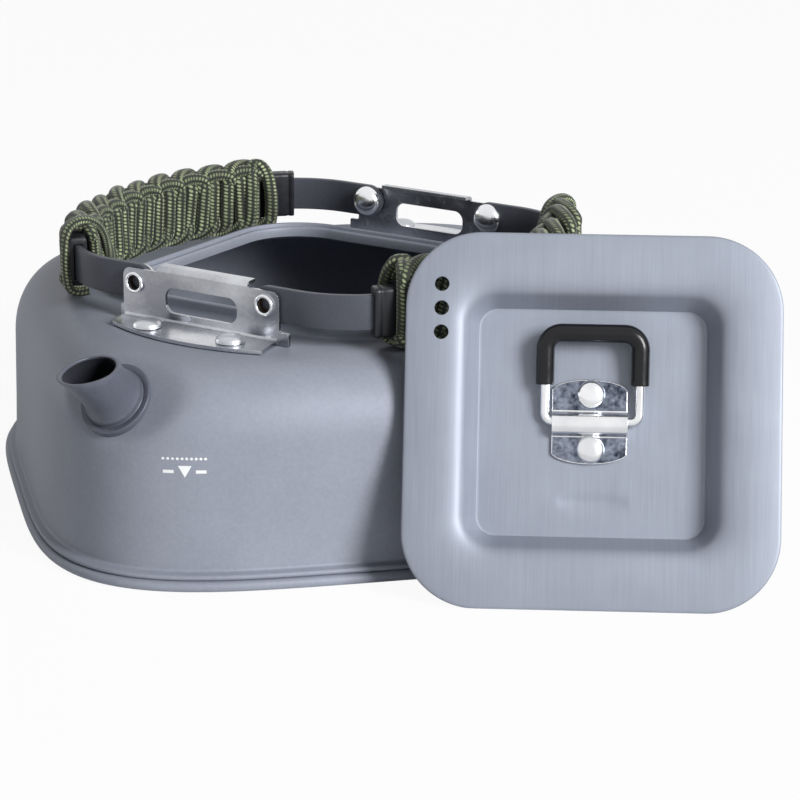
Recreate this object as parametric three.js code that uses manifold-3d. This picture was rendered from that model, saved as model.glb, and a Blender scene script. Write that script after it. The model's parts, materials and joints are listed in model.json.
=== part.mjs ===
import * as THREE from 'three';
import { mergeVertices } from 'three/addons/utils/BufferGeometryUtils.js';
import Module from 'manifold-3d';

// A square camping kettle with two folding handle arms and a lift-off lid, in millimetres.
// +Z is up, the origin is the middle of the underside and the spout points to -Y.
// The lid stands on the same floor and leans against the kettle.

const wasm = await Module();
wasm.setup();

// Shared clearances
const seatGap = 0.3;
const cutOver = 2;
const drillReach = 15;
const turnSegments = 12;

// Base pan, which sets the size of all the rest: half widths are measured across the flats
const outlinePower = 4;
const panHalf = 93.4;
const panRimHeight = 3.1;
const panFloor = 1.2;
const panRound = 0.9;
const panSeamWidth = 4.2;

// Kettle body and the seam that joins it to the pan
const sheet = 1.2;
const seamInset = 1.2;
const seamThickness = 1.6;
const wallInset = 2.3;
const wallTaper = 0.7;
const shoulderStart = 40;
const shoulderHeight = 60.7;
const shoulderRun = 18;
const shoulderSteps = 4;
const aroundSegments = 56;
const fineSteps = 20;
const seamHalf = panHalf - seamInset;
const wallFootHalf = seamHalf - wallInset;
const wallTopHalf = wallFootHalf - wallTaper;

// Lip of the opening, which is turned by 45 degrees to the body
const openingShare = 0.5605;
const openingCorner = 22;
const lipRise = 4.4;
const lipFootSpread = 2.2;
const lipRound = 0.5;
const ledgeWidth = 2.4;
const grooveWidth = 0.7;
const grooveDepth = 0.6;
const innerLedgeWidth = 4.7;
const innerLedgeDrop = 0.8;
const neckDepth = 2.6;
const openingHalf = wallTopHalf * openingShare;
const lipHeight = shoulderHeight + lipRise;

// Spout and the flat patch that it sits on
const patchInset = 6.7;
const patchDrop = 11.1;
const patchTilt = 32;
const spoutTilt = 41.5;
const spoutRadius = 7.3;
const spoutWall = 1.2;
const spoutLength = 18.7;
const spoutInset = 2.6;
const mouthTilt = 81.4;
const spoutFlangeRadius = 10.6;
const spoutFlangeThickness = 1.5;
const spoutCollarRadius = 9;
const spoutCollarThickness = 1;
const spoutSegments = 20;
const cornerReach = wallTopHalf * 2 ** (1 / outlinePower);
const patchReach = cornerReach - patchInset;
const patchHeight = shoulderHeight - patchDrop;

// Brackets
const bracketSheet = 1;
const bracketStandOff = 11.9;
const plateMargin = 4.7;
const plateHeight = 14.9;
const plateCorner = 4;
const pivotHalf = 22.3;
const pivotRise = 10.8;
const slotHalf = 12.3;
const slotHeight = 7.4;
const slotFoot = 3.6;
const slotCorner = 3.4;
const earLength = 3.2;
const earHeight = 3.6;
const lipTabHalf = 15;
const lipTabBend = 88;
const lipTabRadius = 1.2;
const lipTabLength = 2.4;
const footReach = 18;
const footEndReach = 10.5;
const footOverhang = 1.3;
const footNeckInset = 1.9;
const footNeckReach = 2.2;
const arcPoints = 8;
const plateHalf = pivotHalf + plateMargin;
const footHalf = plateHalf + footOverhang;
const footNeckHalf = footHalf - footNeckInset;
const bracketFace = openingHalf + bracketStandOff;
const bracketFoot = shoulderHeight + seatGap;
const plateTop = bracketFoot + plateHeight;
const pivotHeight = bracketFoot + pivotRise;

// Rivets
const footRivetPlace = 14.2;
const footRivetReach = 8.6;
const rivetShank = 2;
const rivetHole = 2.3;
const footRivetHead = 4.2;
const footRivetRise = 2.1;
const footRivetTail = 3.1;
const tailThickness = 1;
const pivotShank = 2.3;
const pivotHole = 2.6;
const pivotDome = 4.7;
const pivotDomeRise = 3;
const pivotEyelet = 3.1;
const pivotEyeletRise = 0.8;
const pivotBore = 1.6;
const pivotBoreDepth = 2.4;

// Handle arms: a flat bar bent to a U, seen from above
const strapThickness = 2;
const strapHeight = 10;
const armStandOff = 18.5;
const armBowRadius = 90;
const armCornerRadius = 27;
const armReach = openingHalf + armStandOff;

// Grip core and the cord that is wound on it
const coreThickness = 5.6;
const coreHeight = 14.4;
const coreRound = 2.6;
const sleeveShown = 9.8;
const cordThickness = 2.6;
const cordWidth = 4.4;
const cordTurns = 19;
const cordPitch = 5.08;
const cordSides = 5;
const cornerSteps = 2;
const coreLength = cordTurns * cordPitch + 2 * sleeveShown;

// Lid
const lidOverhang = 1;
const lidCorner = 20.5;
const lidSheet = 1;
const lidEdgeRound = 0.3;
const creaseInset = 7.5;
const creaseDrop = 0.5;
const creaseWidth = 1;
const mouthShare = 0.698;
const mouthCorner = 8.5;
const mouthRound = 1.6;
const panelInset = 4.9;
const panelCorner = 3.6;
const panelDepth = 8;
const steamHole = 2;
const steamInset = 9.7;
const steamTop = 37.1;
const steamPitch = 6.65;
const steamHoles = 3;
const lidAroundSegments = 48;
const lidHalf = openingHalf + lidOverhang;
const creaseHalf = lidHalf - creaseInset;
const mouthHalf = lidHalf * mouthShare;
const panelHalf = mouthHalf - panelInset;
const steamSide = lidHalf - steamInset;

// Lid saddle, rivets and bail
const saddleHalfWidth = 10.3;
const saddleHalfLength = 11.6;
const saddleShoulder = 8.2;
const saddleSheet = 0.9;
const bailWire = 1.25;
const knuckleClear = 0.35;
const bailHalfWidth = 12.9;
const bailClear = 6.6;
const bailCorner = 4.4;
const bailFootCorner = 2.2;
const bailEndGap = 2;
const bailTilt = 9;
const bailSleeveRadius = 2.8;
const bailSleeveStart = 10;
const bailSides = 8;
const bendSteps = 4;
const bailLength = panelHalf - bailClear;
const lidRivetPlace = 7.55;
const lidRivetHead = 3.9;
const lidRivetRise = 2;
const lidRivetTail = 3;

// Where the lid stands: how far along the body, its turn and its lean
const lidShift = 78.8;
const lidTurn = 29.5;
const lidLean = 22.2;

const radians = THREE.MathUtils.degToRad;

// Materials
function finish(color, roughness, metalness) {
  return new THREE.MeshStandardMaterial({ color, roughness, metalness });
}
const anodised = finish(0x7c828c, 0.5, 0.75);
const brushed = finish(0xb0b5c0, 0.4, 0.8);
const steel = finish(0xd2d2d6, 0.2, 1);
const strapGrey = finish(0x50535c, 0.5, 0.6);
const blackPlastic = finish(0x24262c, 0.5, 0);
const greenCord = finish(0x36402c, 0.85, 0);

const kettle = new THREE.Group();

function addMesh(parent, name, geometry, material) {
  const mesh = new THREE.Mesh(geometry, material);
  mesh.name = name;
  parent.add(mesh);
  return mesh;
}

// Closed mesh through rings of equal point counts. A ring loop closes on itself, and otherwise
// the first and last ring are capped.
function loft(rings, loop) {
  const count = rings[0].length;
  const positions = rings.flat().flatMap((point) => point.toArray());
  const faces = [];
  const bands = loop ? rings.length : rings.length - 1;
  for (let band = 0; band < bands; band += 1) {
    const low = band * count;
    const high = ((band + 1) % rings.length) * count;
    for (let i = 0; i < count; i += 1) {
      const next = (i + 1) % count;
      faces.push(low + i, low + next, high + next);
      faces.push(low + i, high + next, high + i);
    }
  }
  if (!loop) {
    for (const [ring, first, flip] of [[rings[0], 0, true], [rings.at(-1), (rings.length - 1) * count, false]]) {
      const middle = ring.reduce((sum, point) => sum.add(point), new THREE.Vector3()).divideScalar(count);
      const centre = positions.length / 3;
      positions.push(...middle.toArray());
      for (let i = 0; i < count; i += 1) {
        const next = (i + 1) % count;
        faces.push(centre, first + (flip ? next : i), first + (flip ? i : next));
      }
    }
  }
  const geometry = new THREE.BufferGeometry();
  geometry.setAttribute('position', new THREE.Float32BufferAttribute(positions, 3));
  geometry.setIndex(signedVolume(positions, faces) < 0 ? faces.reverse() : faces);
  return geometry;
}

function signedVolume(positions, faces) {
  const corner = (index) => new THREE.Vector3().fromArray(positions, index * 3);
  let sum = 0;
  for (let i = 0; i < faces.length; i += 3) {
    sum += corner(faces[i]).dot(corner(faces[i + 1]).cross(corner(faces[i + 2])));
  }
  return sum;
}

// Conversions to and from solids that can be joined and cut
function toSolid(geometry) {
  const bare = geometry.clone();
  bare.deleteAttribute('normal');
  bare.deleteAttribute('uv');
  const merged = mergeVertices(bare);
  return new wasm.Manifold(new wasm.Mesh({
    numProp: 3,
    vertProperties: new Float32Array(merged.attributes.position.array),
    triVerts: new Uint32Array(merged.index.array),
  }));
}

function toGeometry(solid) {
  const mesh = solid.getMesh();
  const geometry = new THREE.BufferGeometry();
  geometry.setAttribute('position', new THREE.BufferAttribute(mesh.vertProperties, 3));
  geometry.setIndex(new THREE.BufferAttribute(mesh.triVerts, 1));
  return geometry;
}

function join(...geometries) {
  return toGeometry(geometries.map(toSolid).reduce((sum, solid) => sum.add(solid)));
}

function cut(geometry, ...tools) {
  return toGeometry(tools.map(toSolid).reduce((rest, tool) => rest.subtract(tool), toSolid(geometry)));
}

function overlapOf(geometry, mask) {
  return toGeometry(toSolid(geometry).intersect(toSolid(mask)));
}

// Upright cutter for a round hole
function drill(radius, x, y, z) {
  const geometry = new THREE.CylinderGeometry(radius, radius, 2 * drillReach, turnSegments);
  return geometry.rotateX(Math.PI / 2).translate(x, y, z);
}

// Radius of the body outline in one direction: a square with bulging sides, turned by 45 degrees
function bodyRadius(half, angle) {
  const turned = angle - Math.PI / 4;
  const across = Math.abs(Math.cos(turned)) ** outlinePower + Math.abs(Math.sin(turned)) ** outlinePower;
  return half / across ** (1 / outlinePower);
}

// Radius of a square with round corners in one direction
function squareRadius(half, corner, angle) {
  const c = Math.abs(Math.cos(angle));
  const s = Math.abs(Math.sin(angle));
  const flat = half / Math.max(c, s);
  const inner = half - corner;
  if (Math.min(c, s) * flat <= inner) return flat;
  const along = inner * (c + s);
  return along + Math.sqrt(along * along - 2 * inner * inner + corner * corner);
}

function polarRing(segments, radiusAt, z) {
  return Array.from({ length: segments }, (unused, i) => {
    const angle = (i / segments) * 2 * Math.PI;
    const radius = radiusAt(angle);
    return new THREE.Vector3(radius * Math.cos(angle), radius * Math.sin(angle), z);
  });
}

function bodyRing(half, z, segments = aroundSegments) {
  return polarRing(segments, (angle) => bodyRadius(half, angle), z);
}

function openingRing(half, z) {
  const corner = openingCorner + half - openingHalf;
  return polarRing(aroundSegments, (angle) => squareRadius(half, corner, angle), z);
}

// Patch under the spout: points outside its plane are pressed back onto it
const patchNormal = new THREE.Vector3(0, -Math.cos(radians(patchTilt)), Math.sin(radians(patchTilt)));
const patchCentre = new THREE.Vector3(0, -patchReach, patchHeight);

function pressPatch(ring, depth) {
  return ring.map((point) => {
    const outside = point.clone().sub(patchCentre).dot(patchNormal) + depth;
    return outside > 0 ? point.addScaledVector(patchNormal, -outside) : point;
  });
}

// The shoulder from the wall up to its flat top, at a distance under the outer face
function shoulderRings(depth, steps = shoulderSteps, segments = aroundSegments) {
  const rings = [];
  for (let step = 0; step <= steps; step += 1) {
    const angle = (step / steps) * Math.PI / 2;
    const half = wallTopHalf - depth - (shoulderRun - depth) * (1 - Math.cos(angle));
    const z = shoulderStart + (shoulderHeight - shoulderStart - depth) * Math.sin(angle);
    rings.push(pressPatch(bodyRing(half, z, segments), depth));
  }
  return rings;
}

const seamBase = panRimHeight + seatGap;
const ledgeInner = openingHalf - ledgeWidth;
const innerLedgeOuter = ledgeInner - grooveWidth;
const innerLedgeInner = innerLedgeOuter - innerLedgeWidth;
const innerLedgeTop = lipHeight - grooveDepth;
const neckTop = innerLedgeTop - innerLedgeDrop;

function bodyShell() {
  const outside = [
    bodyRing(seamHalf, seamBase),
    bodyRing(seamHalf, seamBase + seamThickness),
    bodyRing(wallFootHalf, seamBase + seamThickness + lipRound),
    ...shoulderRings(0),
    openingRing(openingHalf + lipFootSpread, shoulderHeight),
    openingRing(openingHalf, shoulderHeight + lipFootSpread),
    openingRing(openingHalf, lipHeight - lipRound),
    openingRing(openingHalf - lipRound, lipHeight),
    openingRing(ledgeInner, lipHeight),
    openingRing(innerLedgeOuter, innerLedgeTop),
    openingRing(innerLedgeInner, neckTop),
    openingRing(innerLedgeInner - lipRound, neckTop - neckDepth),
  ];
  const inside = [
    openingRing(innerLedgeInner - lipRound + sheet, neckTop - neckDepth),
    openingRing(innerLedgeInner + sheet, neckTop - sheet),
    openingRing(openingHalf - sheet, innerLedgeTop - sheet),
    openingRing(openingHalf - sheet, shoulderHeight + lipFootSpread - sheet),
    openingRing(openingHalf + lipFootSpread - sheet, shoulderHeight - sheet),
    ...shoulderRings(sheet).reverse(),
    bodyRing(wallFootHalf - sheet, seamBase),
  ];
  const shell = loft([...outside, ...inside], true);
  const holes = [spoutCylinder(spoutRadius + seatGap, -spoutLength, spoutLength)];
  for (const x of [-footRivetPlace, footRivetPlace]) {
    for (const end of [-1, 1]) {
      holes.push(drill(rivetHole, x, end * (bracketFace + footRivetReach), shoulderHeight));
    }
  }
  return cut(shell, ...holes);
}

function basePan() {
  const seamInner = panHalf - panSeamWidth - sheet;
  return loft([
    bodyRing(panHalf - panSeamWidth, 0),
    bodyRing(panHalf - panRound, 0),
    bodyRing(panHalf, panRound),
    bodyRing(panHalf, panRimHeight - panRound),
    bodyRing(panHalf - panRound, panRimHeight),
    bodyRing(seamInner, panRimHeight),
    bodyRing(seamInner - panRound, panFloor),
  ], false);
}

// Spout: lengths along its axis are measured from the middle of the patch
function along(tilt, distance) {
  return new THREE.Vector3(0, -Math.cos(radians(tilt)), Math.sin(radians(tilt))).multiplyScalar(distance);
}

function spoutCylinder(radius, from, to) {
  const geometry = new THREE.CylinderGeometry(radius, radius, to - from, spoutSegments);
  geometry.rotateX(Math.PI - radians(spoutTilt));
  const middle = patchCentre.clone().add(along(spoutTilt, (from + to) / 2));
  return geometry.translate(...middle.toArray());
}

// A block whose face lies square to the tilt, reaching outwards (or inwards) from the point
function trimBlock(point, tilt, outwards) {
  const size = spoutLength * 2;
  const geometry = new THREE.BoxGeometry(size, size, size);
  geometry.rotateX(-radians(tilt));
  const shift = along(tilt, outwards ? size / 2 : -size / 2);
  return geometry.translate(...point.clone().add(shift).toArray());
}

function spout() {
  const flangeProfile = [
    [0, seatGap],
    [spoutFlangeRadius, seatGap],
    [spoutFlangeRadius, seatGap + spoutFlangeThickness],
    [spoutCollarRadius, seatGap + spoutFlangeThickness],
    [spoutCollarRadius, seatGap + spoutFlangeThickness + spoutCollarThickness],
    [0, seatGap + spoutFlangeThickness + spoutCollarThickness],
  ].map(([radius, height]) => new THREE.Vector2(radius, height));
  const flange = new THREE.LatheGeometry(flangeProfile, spoutSegments);
  flange.rotateX(Math.PI - radians(patchTilt));
  flange.translate(...patchCentre.toArray());
  const tube = spoutCylinder(spoutRadius, -spoutLength, spoutLength * 2);
  const bore = spoutCylinder(spoutRadius - spoutWall, -spoutLength - cutOver, spoutLength * 2 + cutOver);
  const mouth = patchCentre.clone().add(along(spoutTilt, spoutLength));
  const root = patchCentre.clone().add(along(patchTilt, -spoutInset));
  return cut(join(tube, flange), bore, trimBlock(mouth, mouthTilt, true), trimBlock(root, patchTilt, false));
}

// Bracket, made for the front: x runs along it and y outwards
function roundedRectangle(half, low, high, corner) {
  const path = new THREE.Path();
  path.absarc(half - corner, low + corner, corner, -Math.PI / 2, 0);
  path.absarc(half - corner, high - corner, corner, 0, Math.PI / 2);
  path.absarc(corner - half, high - corner, corner, Math.PI / 2, Math.PI);
  path.absarc(corner - half, low + corner, corner, Math.PI, 1.5 * Math.PI);
  return path;
}

function circleHole(x, y, radius) {
  const path = new THREE.Path();
  path.absarc(x, y, radius, 0, -Math.PI, true);
  return path.absarc(x, y, radius, -Math.PI, -2 * Math.PI, true);
}

function extrude(shape, depth, curveSegments) {
  return new THREE.ExtrudeGeometry(shape, { depth, bevelEnabled: false, curveSegments });
}

function bracketPlate() {
  const shape = new THREE.Shape();
  shape.moveTo(-plateHalf - earLength, bracketFoot);
  shape.lineTo(plateHalf + earLength, bracketFoot);
  shape.lineTo(plateHalf + earLength, bracketFoot + earHeight);
  shape.lineTo(plateHalf, bracketFoot + earHeight);
  shape.absarc(plateHalf - plateCorner, plateTop - plateCorner, plateCorner, 0, Math.PI / 2);
  shape.absarc(-plateHalf + plateCorner, plateTop - plateCorner, plateCorner, Math.PI / 2, Math.PI);
  shape.lineTo(-plateHalf, bracketFoot + earHeight);
  shape.lineTo(-plateHalf - earLength, bracketFoot + earHeight);
  shape.closePath();
  const slotLow = bracketFoot + slotFoot;
  shape.holes.push(roundedRectangle(slotHalf, slotLow, slotLow + slotHeight, slotCorner));
  shape.holes.push(circleHole(-pivotHalf, pivotHeight, pivotHole));
  shape.holes.push(circleHole(pivotHalf, pivotHeight, pivotHole));
  return extrude(shape, bracketSheet, cornerSteps + 1).rotateX(Math.PI / 2).translate(0, -bracketFace, 0);
}

function bracketFootSheet() {
  const outer = bracketFace + bracketSheet;
  const rise = footReach - footEndReach;
  const arcRadius = (footHalf ** 2 + rise ** 2) / (2 * rise);
  const halfAngle = Math.asin(footHalf / arcRadius);
  const shape = new THREE.Shape();
  shape.moveTo(-footNeckHalf, bracketFace);
  shape.lineTo(footNeckHalf, bracketFace);
  shape.lineTo(footNeckHalf, outer + footNeckReach);
  const arcCentre = outer + footReach - arcRadius;
  shape.absarc(0, arcCentre, arcRadius, Math.PI / 2 - halfAngle, Math.PI / 2 + halfAngle);
  shape.lineTo(-footNeckHalf, outer + footNeckReach);
  shape.closePath();
  for (const side of [-1, 1]) {
    shape.holes.push(circleHole(side * footRivetPlace, bracketFace + footRivetReach, rivetHole));
  }
  const geometry = extrude(shape, bracketSheet, arcPoints);
  geometry.rotateX(Math.PI);
  return geometry.translate(0, 0, bracketFoot + bracketSheet);
}

// The lip between the pivots leans in over the opening
function bracketTab() {
  const bend = radians(lipTabBend);
  const innerRadius = lipTabRadius - bracketSheet / 2;
  const outerRadius = lipTabRadius + bracketSheet / 2;
  const bendCentre = bracketFace - innerRadius;
  const shape = new THREE.Shape();
  const spot = (radius, angle, run) => [
    bendCentre + radius * Math.cos(angle) - run * Math.sin(angle),
    plateTop + radius * Math.sin(angle) + run * Math.cos(angle),
  ];
  shape.moveTo(...spot(innerRadius, 0, -bracketSheet));
  shape.lineTo(...spot(outerRadius, 0, -bracketSheet));
  for (let i = 0; i <= bendSteps; i += 1) shape.lineTo(...spot(outerRadius, bend * i / bendSteps, 0));
  shape.lineTo(...spot(outerRadius, bend, lipTabLength));
  shape.lineTo(...spot(innerRadius, bend, lipTabLength));
  for (let i = bendSteps; i > 0; i -= 1) shape.lineTo(...spot(innerRadius, bend * i / bendSteps, 0));
  shape.closePath();
  const geometry = extrude(shape, 2 * lipTabHalf, cornerSteps);
  geometry.rotateX(Math.PI / 2);
  geometry.rotateZ(-Math.PI / 2);
  return geometry.translate(lipTabHalf, 0, 0);
}

function bracket() {
  return join(bracketPlate(), bracketFootSheet(), bracketTab());
}

// Turned piece from a list of radius and height pairs, standing on the Z axis
function turned(points, segments = turnSegments) {
  const profile = points.map(([radius, height]) => new THREE.Vector2(radius, height));
  return new THREE.LatheGeometry(profile, segments).rotateX(Math.PI / 2);
}

// A dome from its edge to the axis as a quarter ellipse
function domePoints(radius, base, rise, steps = 2) {
  return Array.from({ length: steps + 1 }, (unused, i) => {
    const angle = (i / steps) * Math.PI / 2;
    return [i === steps ? 0 : radius * Math.cos(angle), base + rise * Math.sin(angle)];
  });
}

// Foot rivet: head on the bracket foot, tail under the shoulder
function footRivet() {
  const headSeat = bracketFoot + bracketSheet + seatGap;
  const tailSeat = shoulderHeight - sheet - seatGap;
  return turned([
    [0, tailSeat - tailThickness],
    [footRivetTail, tailSeat - tailThickness],
    [footRivetTail, tailSeat],
    [rivetShank, tailSeat],
    [rivetShank, headSeat],
    [footRivetHead, headSeat],
    ...domePoints(footRivetHead, headSeat + seatGap, footRivetRise),
  ]);
}

// Pivot rivet: dome on the inner side, rolled hollow end on the outer side, drawn along +Z outwards
const strapOuter = bracketFace - seatGap;
const strapInner = strapOuter - strapThickness;
const strapPlane = (strapOuter + strapInner) / 2;

function pivotRivet() {
  const domeSeat = strapInner - seatGap;
  const rollSeat = bracketFace + bracketSheet + seatGap;
  const rollTop = rollSeat + pivotEyeletRise;
  return turned([
    ...domePoints(pivotDome, -domeSeat, pivotDomeRise).map(([radius, height]) => [radius, -height]).reverse(),
    [pivotShank, domeSeat],
    [pivotShank, rollSeat],
    [pivotEyelet, rollSeat],
    [pivotEyelet - lipRound, rollTop],
    [pivotBore, rollTop],
    [pivotBore, rollTop - pivotBoreDepth],
    [0, rollTop - pivotBoreDepth],
  ]);
}

// Centre line of an arm seen from above, by length from its middle; heading 0 runs along +Y there
const bowCentreX = armReach - armBowRadius;
const cornerCentreY = strapPlane - armCornerRadius;
const cornerCentreX = bowCentreX + Math.sqrt((armBowRadius - armCornerRadius) ** 2 - cornerCentreY ** 2);
const bowHalfAngle = Math.atan2(cornerCentreY, cornerCentreX - bowCentreX);
const bowHalfLength = armBowRadius * bowHalfAngle;
const cornerLength = armCornerRadius * (Math.PI / 2 - bowHalfAngle);
const strapEndX = pivotHalf - strapHeight / 2;
const straightLength = cornerCentreX - strapEndX;
const armHalfLength = bowHalfLength + cornerLength + straightLength;

function armPlace(length) {
  const side = Math.sign(length) || 1;
  const distance = Math.abs(length);
  let x;
  let y;
  let heading;
  if (distance <= bowHalfLength) {
    heading = distance / armBowRadius;
    x = bowCentreX + armBowRadius * Math.cos(heading);
    y = armBowRadius * Math.sin(heading);
  } else if (distance <= bowHalfLength + cornerLength) {
    heading = bowHalfAngle + (distance - bowHalfLength) / armCornerRadius;
    x = cornerCentreX + armCornerRadius * Math.cos(heading);
    y = cornerCentreY + armCornerRadius * Math.sin(heading);
  } else {
    heading = Math.PI / 2;
    x = cornerCentreX - (distance - bowHalfLength - cornerLength);
    y = strapPlane;
  }
  return {
    centre: new THREE.Vector3(x, side * y, pivotHeight),
    outwards: new THREE.Vector3(Math.cos(heading), side * Math.sin(heading), 0),
  };
}

function armLengths(halfLength) {
  const steps = [0];
  for (let i = 1; i <= arcPoints; i += 1) steps.push(bowHalfLength * i / arcPoints);
  for (let i = 1; i <= arcPoints; i += 1) steps.push(bowHalfLength + cornerLength * i / arcPoints);
  const inside = steps.filter((length) => length < halfLength - seatGap);
  inside.push(halfLength);
  return [...inside.slice(1).reverse().map((length) => -length), ...inside];
}

// Quarters of a section: which side, which end, and the quarter turn that its corner starts at
const quarters = [[1, 1, 0], [-1, 1, 1], [-1, -1, 2], [1, -1, 3]];

// One section of an arm: a rectangle whose corners are round or, with a corner of zero, sharp
function armSection(length, thickness, height, corner) {
  const place = armPlace(length);
  const points = [];
  const steps = corner > 0 ? cornerSteps : 0;
  for (const [across, up, start] of quarters) {
    for (let i = 0; i <= steps; i += 1) {
      const angle = (start + i / cornerSteps) * Math.PI / 2;
      const outwards = across * (thickness / 2 - corner) + corner * Math.cos(angle);
      const rise = up * (height / 2 - corner) + corner * Math.sin(angle);
      points.push(place.centre.clone().addScaledVector(place.outwards, outwards).setZ(pivotHeight + rise));
    }
  }
  return points;
}

function armBar(lengths, thickness, height, corner) {
  return loft(lengths.map((length) => armSection(length, thickness, height, corner)), false);
}

function strap() {
  const bar = armBar(armLengths(armHalfLength), strapThickness, strapHeight, 0);
  const mask = new THREE.Shape();
  mask.moveTo(armReach + cutOver, pivotHeight + strapHeight);
  mask.lineTo(armReach + cutOver, pivotHeight - strapHeight);
  mask.lineTo(pivotHalf, pivotHeight - strapHeight / 2);
  mask.absarc(pivotHalf, pivotHeight, strapHeight / 2, -Math.PI / 2, Math.PI / 2, true);
  mask.closePath();
  const depth = 2 * (bracketFace + cutOver);
  const slab = extrude(mask, depth, turnSegments / 2);
  slab.rotateX(Math.PI / 2);
  slab.translate(0, depth / 2, 0);
  const pin = new THREE.CylinderGeometry(pivotHole, pivotHole, depth, turnSegments);
  pin.translate(pivotHalf, 0, pivotHeight);
  return cut(overlapOf(bar, slab), pin);
}

function gripCore() {
  const outer = armBar(armLengths(coreLength / 2), coreThickness, coreHeight, coreRound);
  const boreLengths = armLengths(coreLength / 2 + cutOver);
  return cut(outer, armBar(boreLengths, strapThickness + 2 * seatGap, strapHeight + 2 * seatGap, 0));
}

// The cord goes round the core in one unbroken tube
const cordRound = coreRound + seatGap + cordThickness / 2;
const cordHalfThickness = coreThickness / 2 + seatGap + cordThickness / 2;
const cordHalfHeight = coreHeight / 2 + seatGap + cordThickness / 2;

function cordPath() {
  const stepsPerTurn = 4 * (cornerSteps + 1);
  const path = [];
  for (let turn = 0; turn < cordTurns; turn += 1) {
    for (const [across, up, start] of quarters) {
      for (let i = 0; i <= cornerSteps; i += 1) {
        const length = (path.length / stepsPerTurn - cordTurns / 2) * cordPitch;
        const angle = (start + i / cornerSteps) * Math.PI / 2;
        const place = armPlace(length);
        const outwards = across * (cordHalfThickness - cordRound) + cordRound * Math.cos(angle);
        const rise = up * (cordHalfHeight - cordRound) + cordRound * Math.sin(angle);
        const radial = place.outwards.clone().multiplyScalar(Math.cos(angle)).setZ(Math.sin(angle));
        path.push({
          point: place.centre.clone().addScaledVector(place.outwards, outwards).setZ(pivotHeight + rise),
          radial,
        });
      }
    }
  }
  return path;
}

function gripCord() {
  const path = cordPath();
  const rings = path.map(({ point, radial }, i) => {
    const before = path[Math.max(i - 1, 0)].point;
    const after = path[Math.min(i + 1, path.length - 1)].point;
    const forward = after.clone().sub(before).normalize();
    const side = forward.clone().cross(radial).normalize();
    const up = side.clone().cross(forward).normalize();
    return Array.from({ length: cordSides }, (unused, k) => {
      const angle = ((k + 0.5) / cordSides) * 2 * Math.PI + Math.PI;
      return point.clone()
        .addScaledVector(up, cordThickness / 2 * Math.cos(angle))
        .addScaledVector(side, cordWidth / 2 * Math.sin(angle));
    });
  });
  return loft(rings, false);
}

// Least gap between neighbouring turns of the cord, measured on the points of its surface
function cordGap() {
  const geometry = gripCord();
  const points = geometry.attributes.position;
  const perTurn = 4 * (cornerSteps + 1) * cordSides;
  const near = perTurn / 2;
  let least = Infinity;
  const a = new THREE.Vector3();
  const b = new THREE.Vector3();
  const last = cordTurns * perTurn;
  for (let i = 0; i < last; i += 1) {
    a.fromBufferAttribute(points, i);
    for (let j = i + near; j < Math.min(i + 2 * perTurn, last); j += 1) {
      least = Math.min(least, a.distanceTo(b.fromBufferAttribute(points, j)));
    }
  }
  return least;
}
console.log(`least gap between turns of the grip cord: ${cordGap().toFixed(2)} mm`);

// Lid, drawn with its brim's top face at height zero and its panel sunk below
function lidRing(half, corner, z) {
  return polarRing(lidAroundSegments, (angle) => squareRadius(half, corner, angle), z);
}

function lidShell() {
  const wallTopDepth = creaseDrop + mouthRound;
  const top = [
    lidRing(lidHalf, lidCorner, -lidEdgeRound),
    lidRing(lidHalf - lidEdgeRound, lidCorner - lidEdgeRound, 0),
    lidRing(creaseHalf, lidCorner - (lidHalf - creaseHalf), 0),
    lidRing(creaseHalf - creaseWidth, lidCorner - (lidHalf - creaseHalf) - creaseWidth, -creaseDrop),
    lidRing(mouthHalf, mouthCorner, -creaseDrop),
    lidRing(mouthHalf - mouthRound, mouthCorner - mouthRound, -wallTopDepth),
    lidRing(panelHalf + mouthRound / 2, panelCorner + mouthRound / 2, -panelDepth + mouthRound / 2),
    lidRing(panelHalf, panelCorner, -panelDepth),
  ];
  const underCorner = panelCorner + lidSheet;
  const bottom = [
    lidRing(panelHalf + lidSheet, underCorner, -panelDepth - lidSheet),
    lidRing(panelHalf + mouthRound / 2 + lidSheet, underCorner + mouthRound / 2, -panelDepth + mouthRound / 2 - lidSheet / 2),
    lidRing(mouthHalf - mouthRound + lidSheet, mouthCorner - mouthRound + lidSheet, -wallTopDepth - lidSheet / 2),
    lidRing(mouthHalf + lidSheet, mouthCorner + lidSheet, -creaseDrop - lidSheet),
    lidRing(creaseHalf - creaseWidth, lidCorner - (lidHalf - creaseHalf) - creaseWidth, -creaseDrop - lidSheet),
    lidRing(creaseHalf, lidCorner - (lidHalf - creaseHalf), -lidSheet),
    lidRing(lidHalf - lidEdgeRound, lidCorner - lidEdgeRound, -lidSheet),
    lidRing(lidHalf, lidCorner, -lidSheet + lidEdgeRound),
  ];
  const shell = loft([...top.reverse(), ...bottom.reverse()], false);
  const holes = [];
  for (let i = 0; i < steamHoles; i += 1) {
    holes.push(drill(steamHole, -steamSide, steamTop - i * steamPitch, 0));
  }
  for (const side of [-1, 1]) holes.push(drill(rivetHole, 0, side * lidRivetPlace, 0));
  return cut(shell, ...holes);
}

// Saddle: a plate on the panel, with a knuckle across it that the bail turns in
const panelFace = -panelDepth;
const saddleFoot = panelFace + seatGap;
const knuckleBore = bailWire + knuckleClear;
const knuckleRadius = knuckleBore + saddleSheet;
const bailAxis = saddleFoot + bailWire;

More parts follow.
